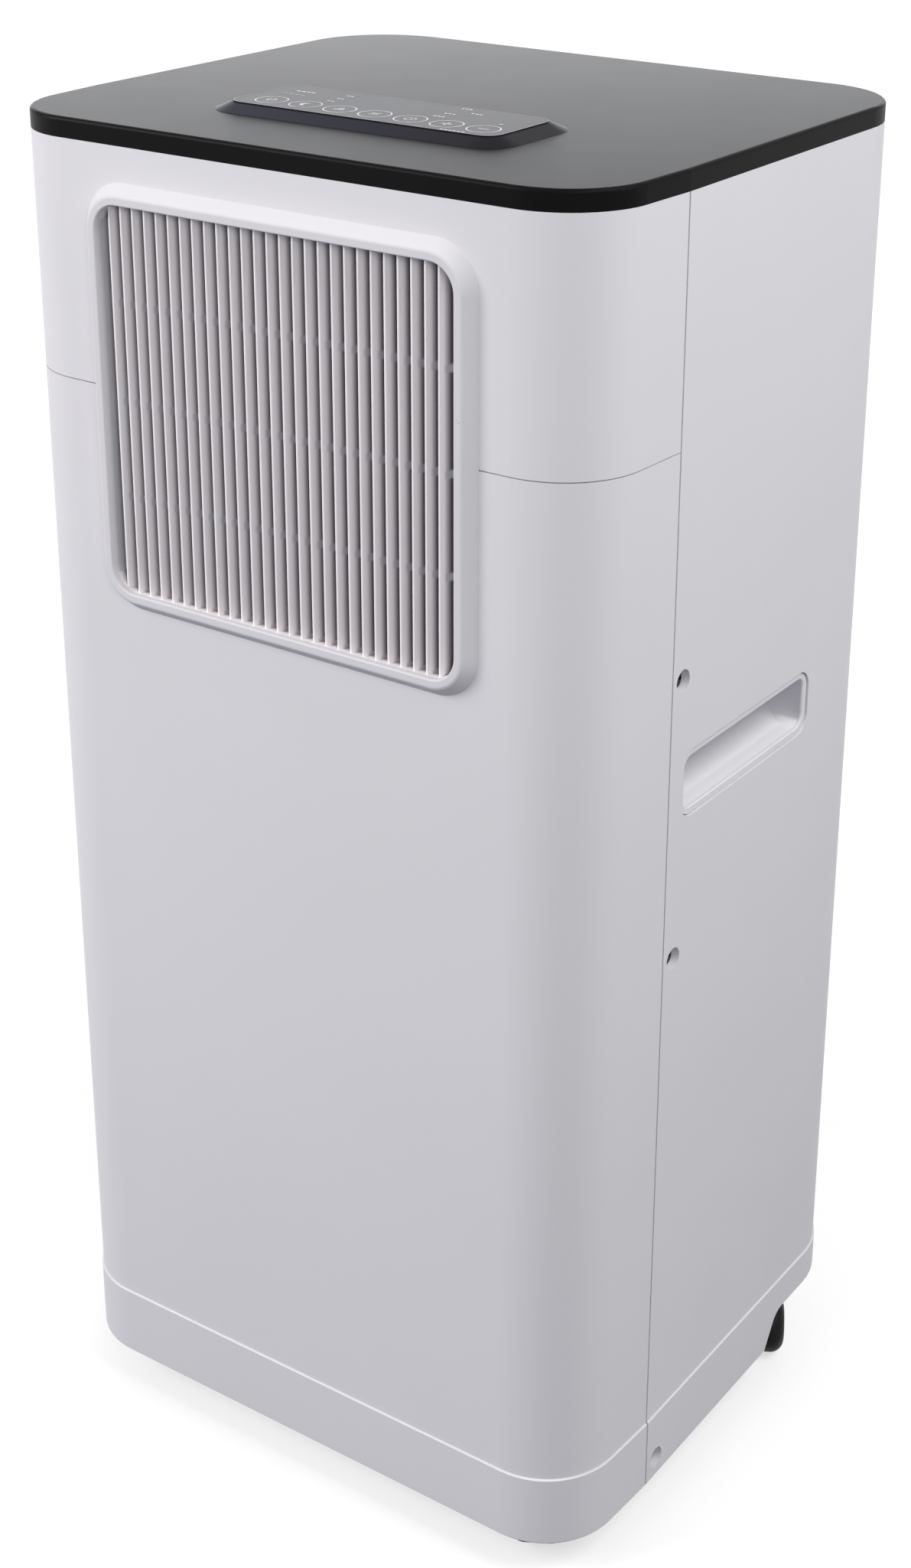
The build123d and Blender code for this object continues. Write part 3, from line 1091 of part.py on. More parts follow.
def fan_wheel(x, z, radius):
    """Centrifugal wheel: motor-side disc, hub, ring at the inlet and radial blades."""
    front = SCROLL_FRONT_Y + SCROLL_WALL + FAN_SIDE_GAP
    rear = front + FAN_WIDTH
    wheel = rod_y(radius, x, z, front, front + FAN_DISC)
    wheel += rod_y(HUB_RADIUS, x, z, front, front + HUB_LENGTH)
    ring = rod_y(radius, x, z, rear - FAN_RING, rear)
    ring -= rod_y(radius - BLADE_CHORD / 2, x, z, rear - FAN_RING, rear)
    blades = [ring]
    half = BLADE_THICKNESS / 2
    blade = block(radius - BLADE_CHORD, radius - 1, front, rear - FAN_RING / 2, -half, half)
    for index in range(BLADE_COUNT):
        blades.append(Pos(x, 0, z) * Rot(0, index * 360 / BLADE_COUNT, 0) * blade)
    return wheel.fuse(*blades) - rod_y(SHAFT_RADIUS, x, z, front, front + HUB_LENGTH)


def fan_shaft(x, z):
    hub_end = SCROLL_FRONT_Y + SCROLL_WALL + FAN_SIDE_GAP + HUB_LENGTH
    return rod_y(SHAFT_RADIUS, x, z, SCROLL_FRONT_Y - MOTOR_LENGTH, hub_end)


def fan_motor(x, z):
    motor = rod_y(MOTOR_RADIUS, x, z, SCROLL_FRONT_Y - MOTOR_LENGTH, SCROLL_FRONT_Y)
    motor = fillet(motor.edges().group_by(Axis.Y)[0], MOTOR_RADIUS / 5)
    return motor - rod_y(SHAFT_RADIUS + RUNNING_FIT, x, z, SCROLL_FRONT_Y - MOTOR_LENGTH, SCROLL_FRONT_Y)


def electrical_span():
    """Outer limits of the electrical box on the left inner wall."""
    left = -(INNER_X - FIT)
    low = DECK_TOP_Z + DECK_RIM + ELECTRIC_BOX_ABOVE_DECK
    half = ELECTRIC_BOX_DEPTH / 2
    return left, left + ELECTRIC_BOX_WIDTH, -half, half, low, low + ELECTRIC_BOX_HEIGHT


def electrical_box():
    x0, x1, y0, y1, z0, z1 = electrical_span()
    wall = ELECTRIC_BOX_WALL
    return block(x0, x1, y0, y1, z0, z1) - block(x0, x1 - wall, y0 + wall, y1 - wall, z0 + wall, z1 - wall)


def power_board():
    x0, x1, y0, y1, z0, z1 = electrical_span()
    edge = ELECTRIC_BOX_WALL + FIT
    middle = (x0 + x1) / 2
    return block(middle, middle + BOARD_THICKNESS, y0 + edge, y1 - edge, z0 + edge, z1 - edge)


def run_capacitor():
    y = FRONT_Y + CAPACITOR_BEHIND_FRONT
    can = rod_z(CAPACITOR_RADIUS, CAPACITOR_X, y, FLOOR_Z, FLOOR_Z + CAPACITOR_HEIGHT)
    return fillet(can.edges().group_by(Axis.Z)[-1], CAPACITOR_RADIUS / 5)


def build_all():
    shell = body_shell()
    grip = handle_insert()
    pieces = {
        "rear_shell": rear_shell(shell),
        "front_lower_panel": front_lower_panel(shell),
        "front_upper_panel": front_upper_panel(shell),
        "top_cover": top_cover(),
        "control_film": control_film(),
        "control_board": control_board(),
        "outlet_grille": outlet_grille(),
        "handle_right": grip,
        "handle_left": mirror(grip, about=Plane.YZ),
        "case_screws": case_screws(),
        "intake_cover": intake_cover(),
        "air_filter": air_filter(),
        "exhaust_collar": exhaust_collar(),
        "drain_spout": drain_spout(),
        "drain_plug": drain_plug(),
        "cord_gland": cord_gland(),
        "base_pan": base_pan(),
        "partition_deck": partition_deck(),
        "compressor_can": compressor_can(),
        "compressor_foot_plate": compressor_foot_plate(),
        "compressor_grommets": compressor_grommets(),
        "compressor_bolts": compressor_bolts(),
        "suction_accumulator": suction_accumulator(),
        "condenser_fins": coil_fins(CONDENSER_WIDTH, FLOOR_Z, CONDENSER_HEIGHT),
        "condenser_tubes": coil_tubes(CONDENSER_WIDTH, FLOOR_Z, CONDENSER_HEIGHT),
        "evaporator_fins": coil_fins(EVAPORATOR_WIDTH, DECK_TOP_Z, EVAPORATOR_HEIGHT),
        "evaporator_tubes": coil_tubes(EVAPORATOR_WIDTH, DECK_TOP_Z, EVAPORATOR_HEIGHT),
        "discharge_pipe": discharge_pipe(),
        "suction_pipe": suction_pipe(),
        "capillary_tube": capillary_tube(),
        "upper_scroll": upper_scroll(),
        "upper_fan_wheel": fan_wheel(UPPER_FAN_SHIFT, GRILLE_Z, UPPER_WHEEL_RADIUS),
        "upper_fan_shaft": fan_shaft(UPPER_FAN_SHIFT, GRILLE_Z),
        "upper_fan_motor": fan_motor(UPPER_FAN_SHIFT, GRILLE_Z),
        "lower_scroll": lower_scroll(),
        "lower_fan_wheel": fan_wheel(LOWER_FAN_X, LOWER_FAN_Z, LOWER_WHEEL_RADIUS),
        "lower_fan_shaft": fan_shaft(LOWER_FAN_X, LOWER_FAN_Z),
        "lower_fan_motor": fan_motor(LOWER_FAN_X, LOWER_FAN_Z),
        "exhaust_box": exhaust_box(),
        "outlet_duct": outlet_duct(),
        "electrical_box": electrical_box(),
        "power_board": power_board(),
        "run_capacitor": run_capacitor(),
    }
    yoke = caster_yoke()
    wheels = caster_wheels()
    axle = caster_axle()
    for corner in CASTERS:
        pieces["yoke_" + corner] = caster_place(corner) * yoke
        pieces["wheels_" + corner] = caster_place(corner) * wheels
        pieces["axle_" + corner] = caster_place(corner) * axle
    return pieces


os.makedirs("parts", exist_ok=True)
for name, piece in build_all().items():
    export_step(piece, "parts/" + name + ".step")
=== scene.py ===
import bpy
import json
import math
from mathutils import Matrix, Vector


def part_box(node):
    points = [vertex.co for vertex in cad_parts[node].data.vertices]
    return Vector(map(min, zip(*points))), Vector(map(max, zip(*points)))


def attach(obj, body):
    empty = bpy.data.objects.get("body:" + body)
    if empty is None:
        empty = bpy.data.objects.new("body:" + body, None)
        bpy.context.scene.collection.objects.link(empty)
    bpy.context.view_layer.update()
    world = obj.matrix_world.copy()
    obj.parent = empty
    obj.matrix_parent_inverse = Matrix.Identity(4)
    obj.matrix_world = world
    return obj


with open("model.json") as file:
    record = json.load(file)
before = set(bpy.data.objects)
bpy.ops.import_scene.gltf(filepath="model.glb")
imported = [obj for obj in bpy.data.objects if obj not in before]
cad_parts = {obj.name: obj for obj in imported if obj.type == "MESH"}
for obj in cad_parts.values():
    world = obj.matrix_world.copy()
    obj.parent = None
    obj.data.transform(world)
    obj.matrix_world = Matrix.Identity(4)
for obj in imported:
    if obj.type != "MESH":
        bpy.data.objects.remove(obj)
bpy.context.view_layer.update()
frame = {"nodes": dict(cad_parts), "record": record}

NODES = frame["nodes"]
SCENE = bpy.context.scene
MM = 0.001
PURE_WHITE = (1.0, 1.0, 1.0)


# Shader nodes

# Most values of a noise lie between these two
NOISE_LOW = 0.3
NOISE_HIGH = 0.7
GRAIN_HEIGHT = 0.1 * MM
# Places of the colour sockets on a mix node
MIX_BELOW = 6
MIX_ABOVE = 7
MIX_RESULT = 2


def put(tree, socket, value):
    """Link a socket to another socket, or set it to a plain value."""
    if isinstance(value, bpy.types.NodeSocket):
        tree.links.new(value, socket)
    else:
        socket.default_value = value


def node(tree, kind, sockets=None, **settings):
    """New node with its settings and its inputs, which are given by name or place."""
    made = tree.nodes.new(kind)
    for key, value in settings.items():
        setattr(made, key, value)
    for place, value in (sockets or {}).items():
        put(tree, made.inputs[place], value)
    return made


def rgba(colour):
    return (*colour, 1.0)


def object_coords(tree):
    return node(tree, "ShaderNodeTexCoord").outputs["Object"]


def axes(tree):
    """The X, Y and Z of each point of the object."""
    return node(tree, "ShaderNodeSeparateXYZ", {0: object_coords(tree)}).outputs


def calc(tree, operation, *values):
    return node(tree, "ShaderNodeMath", dict(enumerate(values)), operation=operation).outputs[0]


def map_range(tree, value, start, end, low=0.0, high=1.0):
    """Low up to start, high past end, and a straight change between them."""
    sockets = {"Value": value, "From Min": start, "From Max": end, "To Min": low, "To Max": high}
    return node(tree, "ShaderNodeMapRange", sockets).outputs["Result"]


def mix_colour(tree, factor, below, above, blend="MIX"):
    sockets = {"Factor": factor, MIX_BELOW: below, MIX_ABOVE: above}
    return node(tree, "ShaderNodeMix", sockets, data_type="RGBA", blend_type=blend).outputs[MIX_RESULT]


def mix_shader(tree, factor, below, above):
    sockets = {0: factor, 1: below.outputs[0], 2: above.outputs[0]}
    return node(tree, "ShaderNodeMixShader", sockets).outputs[0]


def noise(tree, coords, scale, detail=2.0, rough=0.5):
    sockets = {"Vector": coords, "Scale": scale, "Detail": detail, "Roughness": rough}
    return node(tree, "ShaderNodeTexNoise", sockets).outputs["Fac"]


def ramp(tree, fac, low, high, start=NOISE_LOW, end=NOISE_HIGH, between=()):
    """Colours from low at start to high at end, with more stops between them."""
    made = node(tree, "ShaderNodeValToRGB", {"Fac": fac})
    stops = made.color_ramp.elements
    stops[0].position = start
    stops[1].position = end
    stops[0].color = rgba(low)
    stops[1].color = rgba(high)
    for place, colour in between:
        stops.new(place).color = rgba(colour)
    return made.outputs["Color"]


def bump(tree, height, strength):
    sockets = {"Height": height, "Strength": strength, "Distance": GRAIN_HEIGHT}
    return node(tree, "ShaderNodeBump", sockets).outputs["Normal"]


def new_material(name):
    mat = bpy.data.materials.new(name)
    mat.use_nodes = True
    tree = mat.node_tree
    return mat, tree, tree.nodes["Principled BSDF"]


def fed_input(tree, name):
    """An input of the surface shader, and the socket that feeds it so far."""
    socket = tree.nodes["Principled BSDF"].inputs[name]
    return socket, socket.links[0].from_socket


# Plastics and metals

SHEEN_FINER = 5
METAL_SMOOTHER = 0.06
METAL_ROUGHER = 0.08
METAL_RELIEF = 0.15


def moulded(name, colour, rough, vary=0.03, grain=1400.0, grain_depth=0.12, sink=7.0,
            specular=0.5, uneven=0.04):
    """Moulded plastic: faint tone drift, satin grain, slightly uneven gloss."""
    mat, tree, shader = new_material(name)
    coords = object_coords(tree)
    dark = [c * (1 - vary) for c in colour]
    light = [min(1.0, c * (1 + vary / 2)) for c in colour]
    drift = noise(tree, coords, sink, detail=3.0)
    sheen = noise(tree, coords, sink * SHEEN_FINER, detail=4.0, rough=0.6)
    gloss = map_range(tree, sheen, NOISE_LOW, NOISE_HIGH, rough - uneven, rough + uneven)
    fine = noise(tree, coords, grain, rough=0.6)
    put(tree, shader.inputs["Base Color"], ramp(tree, drift, dark, light))
    put(tree, shader.inputs["Roughness"], gloss)
    put(tree, shader.inputs["Normal"], bump(tree, fine, grain_depth))
    put(tree, shader.inputs["Specular IOR Level"], specular)
    return mat


def metal(name, colour, rough, scale=300.0, vary=0.12):
    """Bare or plated metal with fine drawn marks."""
    mat, tree, shader = new_material(name)
    marks = noise(tree, object_coords(tree), scale, detail=5.0, rough=0.65)
    dark = [c * (1 - vary) for c in colour]
    gloss = map_range(tree, marks, NOISE_LOW, NOISE_HIGH, rough - METAL_SMOOTHER, rough + METAL_ROUGHER)
    put(tree, shader.inputs["Base Color"], ramp(tree, marks, dark, colour))
    put(tree, shader.inputs["Roughness"], gloss)
    put(tree, shader.inputs["Normal"], bump(tree, marks, METAL_RELIEF))
    put(tree, shader.inputs["Metallic"], 1.0)
    return mat


# Outlet grille

GRILLE_BORDER = 9.1 * MM
SLAT_NOSE = 4.0 * MM
# Margin left free of the painted shade, and the depth over which the painted shade darkens the slats
SLAT_UNSHADED_MARGIN = 1.0 * MM
SLAT_SHADE_DEPTH = 5.4 * MM
TIE_BAR_HALF = 1.2 * MM
# Shares of the depth of the painted shade, counted from the noses of the slats
SLAT_NOSE_SHARE = 0.04
SLAT_FLANK_TONES = ((0.13, (1.0, 0.96, 0.97)), (0.34, (0.96, 0.92, 0.93)))
TIE_BAR_SHARES = (0.30, 0.62)
# Painted light and shade on the slats: bright at their noses, dark at their roots
SLAT_NOSE_TONE = (0.96, 0.92, 0.935)
SLAT_ROOT_TONE = (0.106, 0.094, 0.105)
# Painted highlight at the tie bars
TIE_BAR_TONE = (0.56, 0.55, 0.57)


def tie_bar_glints(tree, height, depth, shade, centre, reach):
    """Painted highlights: lighter spots deep between the slats, at the heights of the three tie bars."""
    step = reach / 2
    apart = calc(tree, "PINGPONG", calc(tree, "SUBTRACT", height, centre), step / 2)
    near = map_range(tree, apart, TIE_BAR_HALF, 2 * TIE_BAR_HALF, 1.0, 0.0)
    rear = map_range(tree, depth, *TIE_BAR_SHARES)
    return mix_colour(tree, calc(tree, "MULTIPLY", near, rear), shade, rgba(TIE_BAR_TONE))


def grille_plastic():
    """White plastic of the outlet grille, with painted light and shade on the slats: bright at their
    noses, dark deep between them.
    """
    mat = moulded("white_grille", (0.77, 0.76, 0.775), 0.55, vary=0.012, specular=0.03)
    tree = mat.node_tree
    low, high = (Vector(corner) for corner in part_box("outlet_grille"))
    middle = (low + high) / 2
    reach_x = high.x - middle.x - GRILLE_BORDER - SLAT_UNSHADED_MARGIN
    reach_z = high.z - middle.z - GRILLE_BORDER
    nose = low.y + SLAT_NOSE
    place = axes(tree)
    depth = map_range(tree, place["Y"], nose, nose + SLAT_SHADE_DEPTH)
    shade = ramp(tree, depth, SLAT_NOSE_TONE, SLAT_ROOT_TONE, SLAT_NOSE_SHARE, 1.0, SLAT_FLANK_TONES)
    shade = tie_bar_glints(tree, place["Z"], depth, shade, middle.z, reach_z)
    slats = calc(tree, "GREATER_THAN", place["Y"], nose - SLAT_UNSHADED_MARGIN)
    for axis, centre, reach in (("X", middle.x, reach_x), ("Z", middle.z, reach_z)):
        slats = calc(tree, "MULTIPLY", slats, calc(tree, "COMPARE", place[axis], centre, reach))
    # The plastic's own colour gives way to the painted light and shade on the slats
    base, unpainted = fed_input(tree, "Base Color")
    put(tree, base, mix_colour(tree, slats, unpainted, shade))
    return mat


# Finger recesses

RECESS_END = 4.6 * MM
RECESS_END_BLUR = 1.0 * MM
# Painted shade deep in the hollow and at its rear end, painted light near its mouth
# Shares of the depth of a recess, counted from its back to its face
RECESS_BACK_SHARE = 0.10
RECESS_FLOOR_TONES = ((0.60, (0.93, 0.93, 0.93)), (0.90, PURE_WHITE))
RECESS_FACE_SHARE = 0.97
RECESS_LIP_SHARE = 0.02
RECESS_BACK_TONE = (0.44, 0.44, 0.47)
RECESS_FACE_TONE = (0.84, 0.84, 0.84)
RECESS_END_TONE = (0.64, 0.64, 0.67)


def recess_plastic():
    """White plastic of the finger recesses, with painted shade at the back and at the rear end of the
    hollow and painted light near its mouth.
    """
    mat = moulded("white_recess", (0.95, 0.94, 0.955), 0.48, vary=0.012, specular=0.14)
    tree = mat.node_tree
    low, high = (Vector(corner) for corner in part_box("handle_right"))
    place = axes(tree)
    out = map_range(tree, calc(tree, "ABSOLUTE", place["X"]), low.x, high.x)
    shade = ramp(tree, out, RECESS_BACK_TONE, RECESS_FACE_TONE, RECESS_BACK_SHARE, RECESS_FACE_SHARE,
                 RECESS_FLOOR_TONES)
    # Painted shade on the rear end wall of the hollow
    end = high.y - RECESS_END
    rear = map_range(tree, place["Y"], end, end + RECESS_END_BLUR)
    inside = calc(tree, "LESS_THAN", out, RECESS_FACE_SHARE - RECESS_LIP_SHARE)
    shade = mix_colour(tree, calc(tree, "MULTIPLY", rear, inside), shade, rgba(RECESS_END_TONE))
    base, unpainted = fed_input(tree, "Base Color")
    put(tree, base, mix_colour(tree, 1.0, unpainted, shade, blend="MULTIPLY"))
    return mat


# Top cover

PLATEAU_RISE = 3.6 * MM
PLATEAU_EDGE = 0.2 * MM
# Painted bluish sheen on the slopes of the plateau, strongest at the left
PLATEAU_SHEEN_TONE = (0.032, 0.033, 0.047)
PLATEAU_SHEEN_LEFT = 1.0
PLATEAU_SHEEN_RIGHT = 0.2
# Roughness gained per metre along X, Y and Z
COVER_DULLING = (0.14, -0.09, 0.0)


def cover_plastic():
    """Black satin plastic, duller towards the front right, with a painted bluish sheen on the slopes of
    the plateau that fades towards the right.
    """
    mat = moulded("black_cover", (0.005, 0.0046, 0.0052), 0.375, vary=0.2, grain=1800.0, grain_depth=0.10,
                  specular=0.05, uneven=0.006)
    tree = mat.node_tree
    low, high = (Vector(corner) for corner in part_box("top_cover"))
    place = axes(tree)
    sockets = {0: object_coords(tree), 1: COVER_DULLING}
    dulling = node(tree, "ShaderNodeVectorMath", sockets, operation="DOT_PRODUCT").outputs["Value"]
    rough, even = fed_input(tree, "Roughness")
    put(tree, rough, calc(tree, "ADD", even, dulling))
    # Painted bluish sheen on the slopes of the plateau
    half = PLATEAU_RISE / 2
    slope = calc(tree, "COMPARE", place["Z"], high.z - half, half - PLATEAU_EDGE)
    fade = map_range(tree, place["X"], low.x / 2, high.x / 2, PLATEAU_SHEEN_LEFT, PLATEAU_SHEEN_RIGHT)
    base, unpainted = fed_input(tree, "Base Color")
    put(tree, base, mix_colour(tree, calc(tree, "MULTIPLY", slope, fade), unpainted, rgba(PLATEAU_SHEEN_TONE)))
    return mat


# Materials of the slots

WHITE = moulded("white_satin", (0.80, 0.79, 0.805), 0.48, vary=0.012, specular=0.14)
WHITE_GRILLE = grille_plastic()
WHITE_RECESS = recess_plastic()
BLACK_COVER = cover_plastic()
FILM = moulded("control_film", (0.006, 0.006, 0.009), 0.33, vary=0.2, grain=600.0, grain_depth=0.02,
               specular=0.037, uneven=0.006)
PRINT = moulded("film_print", (0.62, 0.62, 0.64), 0.40, vary=0.06, grain=3000.0)
PRINT_FAINT = moulded("film_print_faint", (0.20, 0.20, 0.21), 0.40, vary=0.06, grain=3000.0)
BLACK = moulded("black_nylon", (0.009, 0.009, 0.010), 0.45, vary=0.25, grain=900.0, specular=0.1)
RUBBER = moulded("soft_rubber", (0.020, 0.020, 0.020), 0.7, vary=0.3, grain=1500.0, grain_depth=0.3)
GREY_BASE = moulded("grey_base", (0.05, 0.05, 0.055), 0.6, vary=0.2, grain=900.0)
DUCT = moulded("duct_plastic", (0.16, 0.155, 0.17), 0.65, vary=0.12, grain=700.0)
FAN = moulded("fan_plastic", (0.05, 0.05, 0.055), 0.5, vary=0.15)
NET = moulded("filter_net", (0.07, 0.075, 0.085), 0.6, vary=0.2)
BOARD = moulded("circuit_board", (0.02, 0.09, 0.045), 0.45, vary=0.3, sink=90.0)
PAINT = moulded("black_paint", (0.015, 0.015, 0.016), 0.35, vary=0.3)
MOTOR = moulded("motor_paint", (0.14, 0.145, 0.155), 0.45, vary=0.1)
ZINC = metal("zinc_plate", (0.62, 0.62, 0.64), 0.32)
BLACK_ZINC = metal("black_zinc", (0.05, 0.05, 0.055), 0.3)
STEEL = metal("ground_steel", (0.58, 0.58, 0.60), 0.3, scale=500.0)
ALUMINIUM = metal("fin_aluminium", (0.72, 0.73, 0.75), 0.4)
COPPER = metal("copper_tube", (0.72, 0.36, 0.22), 0.35)

BY_SLOT = {
    "white_case": WHITE,
    "white_grille": WHITE_GRILLE,
    "black_cover": BLACK_COVER,
    "control_film": FILM,
    "circuit_board": BOARD,
    "black_screw": BLACK_ZINC,
    "zinc_screw": ZINC,
    "filter_net": NET,
    "soft_rubber": RUBBER,
    "black_plastic": BLACK,
    "grey_base": GREY_BASE,
    "black_caster": BLACK,
    "steel_pin": STEEL,
    "black_steel": PAINT,
    "fin_aluminium": ALUMINIUM,
    "copper_tube": COPPER,
    "duct_plastic": DUCT,
    "fan_plastic": FAN,
    "motor_steel": MOTOR,
    "capacitor_can": ALUMINIUM,
}
BY_NODE = {"handle_left": WHITE_RECESS, "handle_right": WHITE_RECESS}


def dress_nodes():
    for entry in frame["record"]["subparts"]:
        materials = NODES[entry["node"]].data.materials
        materials.clear()
        materials.append(BY_NODE.get(entry["node"], BY_SLOT[entry["material_slot"]]))


# Printing on the control film, in millimetres and degrees

FILM_LOW, FILM_HIGH = (Vector(corner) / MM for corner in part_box("control_film"))
FILM_MIDDLE = (FILM_LOW + FILM_HIGH) / 2
PRINT_PROUD = 0.06
PRINT_Z = FILM_HIGH.z + PRINT_PROUD
KEY_COUNT = 7
KEY_PITCH = 19.6
# The first key and the row of keys, from the film's middle
KEY_FIRST = -57.2
KEY_ROW = -12.1
KEY_X = [FILM_MIDDLE.x + KEY_FIRST + KEY_PITCH * index for index in range(KEY_COUNT)]
KEY_Y = FILM_MIDDLE.y + KEY_ROW
KEY_RADIUS = 7.6
KEY_LINE = 0.55
EDGE_LINE = 0.35
FINE_LINE = 0.5
LINE = 0.6
BOLD_LINE = 0.75
MARK_RADIUS = 2.7
MARK_REACH = 2.8
EDGE_INSET = 0.4
EDGE_RADIUS = 8.0
BAR_SHARE = 0.72

# Each label: left end, right end and place along Y from the film's middle, bar height, bar count
LABELS = (
    (-62.0, -50.5, 12.5, 1.3, 4),
    (-35.2, -30.8, 0.9, 1.1, 2),
    (-35.2, -30.8, 8.3, 1.1, 2),
    (-35.2, -30.8, 15.7, 1.1, 2),
    (24.9, 31.5, 0.3, 1.2, 3),
    (25.6, 32.2, 7.7, 1.2, 3),
    (25.2, 31.8, 21.5, 1.2, 3),
    (35.8, 42.4, 14.1, 1.2, 3),
    (45.0, 58.6, -23.1, 1.0, 6),
    (59.6, 62.4, 1.1, 0.9, 1),
)
FAINT_LABELS = ((-64.0, -51.0, 4.9, 1.0, 4),)


def mesh_piece(name, verts, faces, material, body):
    mesh = bpy.data.meshes.new(name)
    mesh.from_pydata([tuple(c * MM for c in v) for v in verts], [], faces)
    mesh.materials.append(material)
    piece = bpy.data.objects.new(name, mesh)
    SCENE.collection.objects.link(piece)
    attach(piece, body)


def printed(name, shapes, material):
    """One piece from several flat shapes on the film."""
    verts = []
    faces = []
    for shape_verts, shape_faces in shapes:
        base = len(verts)
        verts.extend(shape_verts)
        faces.extend(tuple(base + index for index in face) for face in shape_faces)
    mesh_piece(name, verts, faces, material, "case")


def stroke(points, width, closed=False):
    """Flat ribbon along a line of (x, y) points."""
    count = len(points)
    verts = []
    for index, (x, y) in enumerate(points):
        before = points[index - 1] if index or closed else points[index]
        after = points[(index + 1) % count] if index < count - 1 or closed else points[index]
        along = Vector((after[0] - before[0], after[1] - before[1])).normalized()
        side = Vector((-along.y, along.x)) * width / 2
        verts.append((x - side.x, y - side.y, PRINT_Z))
        verts.append((x + side.x, y + side.y, PRINT_Z))
    last = count if closed else count - 1
    faces = []
    for index in range(last):
        here = 2 * index
        then = 2 * ((index + 1) % count)
        faces.append((here, then, then + 1, here + 1))
    return verts, faces


def arc(x, y, radius, start, end, steps=40):
    turns = [math.radians(start + (end - start) * k / steps) for k in range(steps + 1)]
    return [(x + radius * math.cos(t), y + radius * math.sin(t)) for t in turns]


def circle(x, y, radius, width, steps=56):
    return stroke(arc(x, y, radius, 0, 360 - 360 / steps, steps - 1), width, closed=True)


def level_bar(x, y, reach, width):
    return stroke([(x - reach, y), (x + reach, y)], width)


def upright_bar(x, low, high, width):
    return stroke([(x, low), (x, high)], width)


def power_mark(x, y):
    radius = 2.3
    gap = 35
    bar_low = 0.6
    bar_high = 3.2
    ring = stroke(arc(x, y, radius, 90 + gap, 450 - gap), LINE)
    return [ring, upright_bar(x, y + bar_low, y + bar_high, LINE)]


def moon_mark(x, y):
    steps = 24
    hollow_shift = 1.4
    hollow_radius = 2.36
    outer_half = 120
    hollow_half = 98
    outer = arc(x, y, MARK_RADIUS, 180 - outer_half, 180 + outer_half, steps)
    inner = arc(x + hollow_shift, y, hollow_radius, 180 + hollow_half, 180 - hollow_half, steps)
    verts = [(px, py, PRINT_Z) for px, py in outer + inner]
    last = len(verts) - 1
    faces = [(k, k + 1, last - 1 - k, last - k) for k in range(steps)]
    return [(verts, faces)]


def fan_mark(x, y):
    hub = 0.7
    blade = 0.95
    blade_out = 1.9
    marks = [circle(x, y, hub, FINE_LINE, steps=16)]
    for turn in (90, 210, 330):
        t = math.radians(turn)
        blade_x = x + blade_out * math.cos(t)
        blade_y = y + blade_out * math.sin(t)
        marks.append(circle(blade_x, blade_y, blade, FINE_LINE, steps=20))
    return marks


def mode_mark(x, y):
    step = 1.5
    short = 2.0
    rows = ((-step, MARK_REACH), (0, short), (step, MARK_REACH))
    return [level_bar(x, y + above, reach, LINE) for above, reach in rows]


def timer_mark(x, y):
    long_hand = 1.7
    short_hand = (1.3, -0.6)
    hands = stroke([(x, y + long_hand), (x, y), (x + short_hand[0], y + short_hand[1])], FINE_LINE)
    return [circle(x, y, MARK_RADIUS, FINE_LINE, steps=32), hands]


def plus_mark(x, y):
    upright = upright_bar(x, y - MARK_REACH, y + MARK_REACH, BOLD_LINE)
    return [level_bar(x, y, MARK_REACH, BOLD_LINE), upright]


def minus_mark(x, y):
    return [level_bar(x, y, MARK_REACH, BOLD_LINE)]


def film_edge():
    """Rounded rectangle just inside the edge of the film."""
    half = (FILM_HIGH - FILM_LOW) / 2
    reach_x = half.x - EDGE_INSET - EDGE_RADIUS
    reach_y = half.y - EDGE_INSET - EDGE_RADIUS
    points = []
    for sx, sy, start in ((1, 1, 0), (-1, 1, 90), (-1, -1, 180), (1, -1, 270)):
        corner_x = FILM_MIDDLE.x + sx * reach_x
        corner_y = FILM_MIDDLE.y + sy * reach_y
        points.extend(arc(corner_x, corner_y, EDGE_RADIUS, start, start + 90, steps=10))
    return points


def label_bars(rows):
    """Rows of short bars, each standing for one printed label."""
    bars = []
    for left, right, above, height, count in rows:
        pitch = (right - left) / count
        y = FILM_MIDDLE.y + above
        for index in range(count):
            start = FILM_MIDDLE.x + left + pitch * index
            bars.append(stroke([(start, y), (start + pitch * BAR_SHARE, y)], height))
    return bars


def print_film():
    """Key rings, a mark in each, labels and the film's outline. A mark's function names its piece."""
    marks = (power_mark, moon_mark, fan_mark, mode_mark, timer_mark, plus_mark, minus_mark)
    printed("key_rings", [circle(x, KEY_Y, KEY_RADIUS, KEY_LINE) for x in KEY_X], PRINT)
    for x, mark in zip(KEY_X, marks):
        printed(mark.__name__, mark(x, KEY_Y), PRINT)
    printed("panel_labels", label_bars(LABELS), PRINT)
    printed("panel_labels_faint", label_bars(FAINT_LABELS), PRINT_FAINT)
    printed("film_outline", [stroke(film_edge(), EDGE_LINE, closed=True)], PRINT_FAINT)


# Mark of the moulding gate on the right side of the grille's frame, in millimetres

GATE_FROM_SIDE = 6.7
GATE_ABOVE_FOOT = 130.0
GATE_RINGS = ((1.0, 0.0), (0.75, 0.14), (0.5, 0.0))
GATE_STEPS = 28


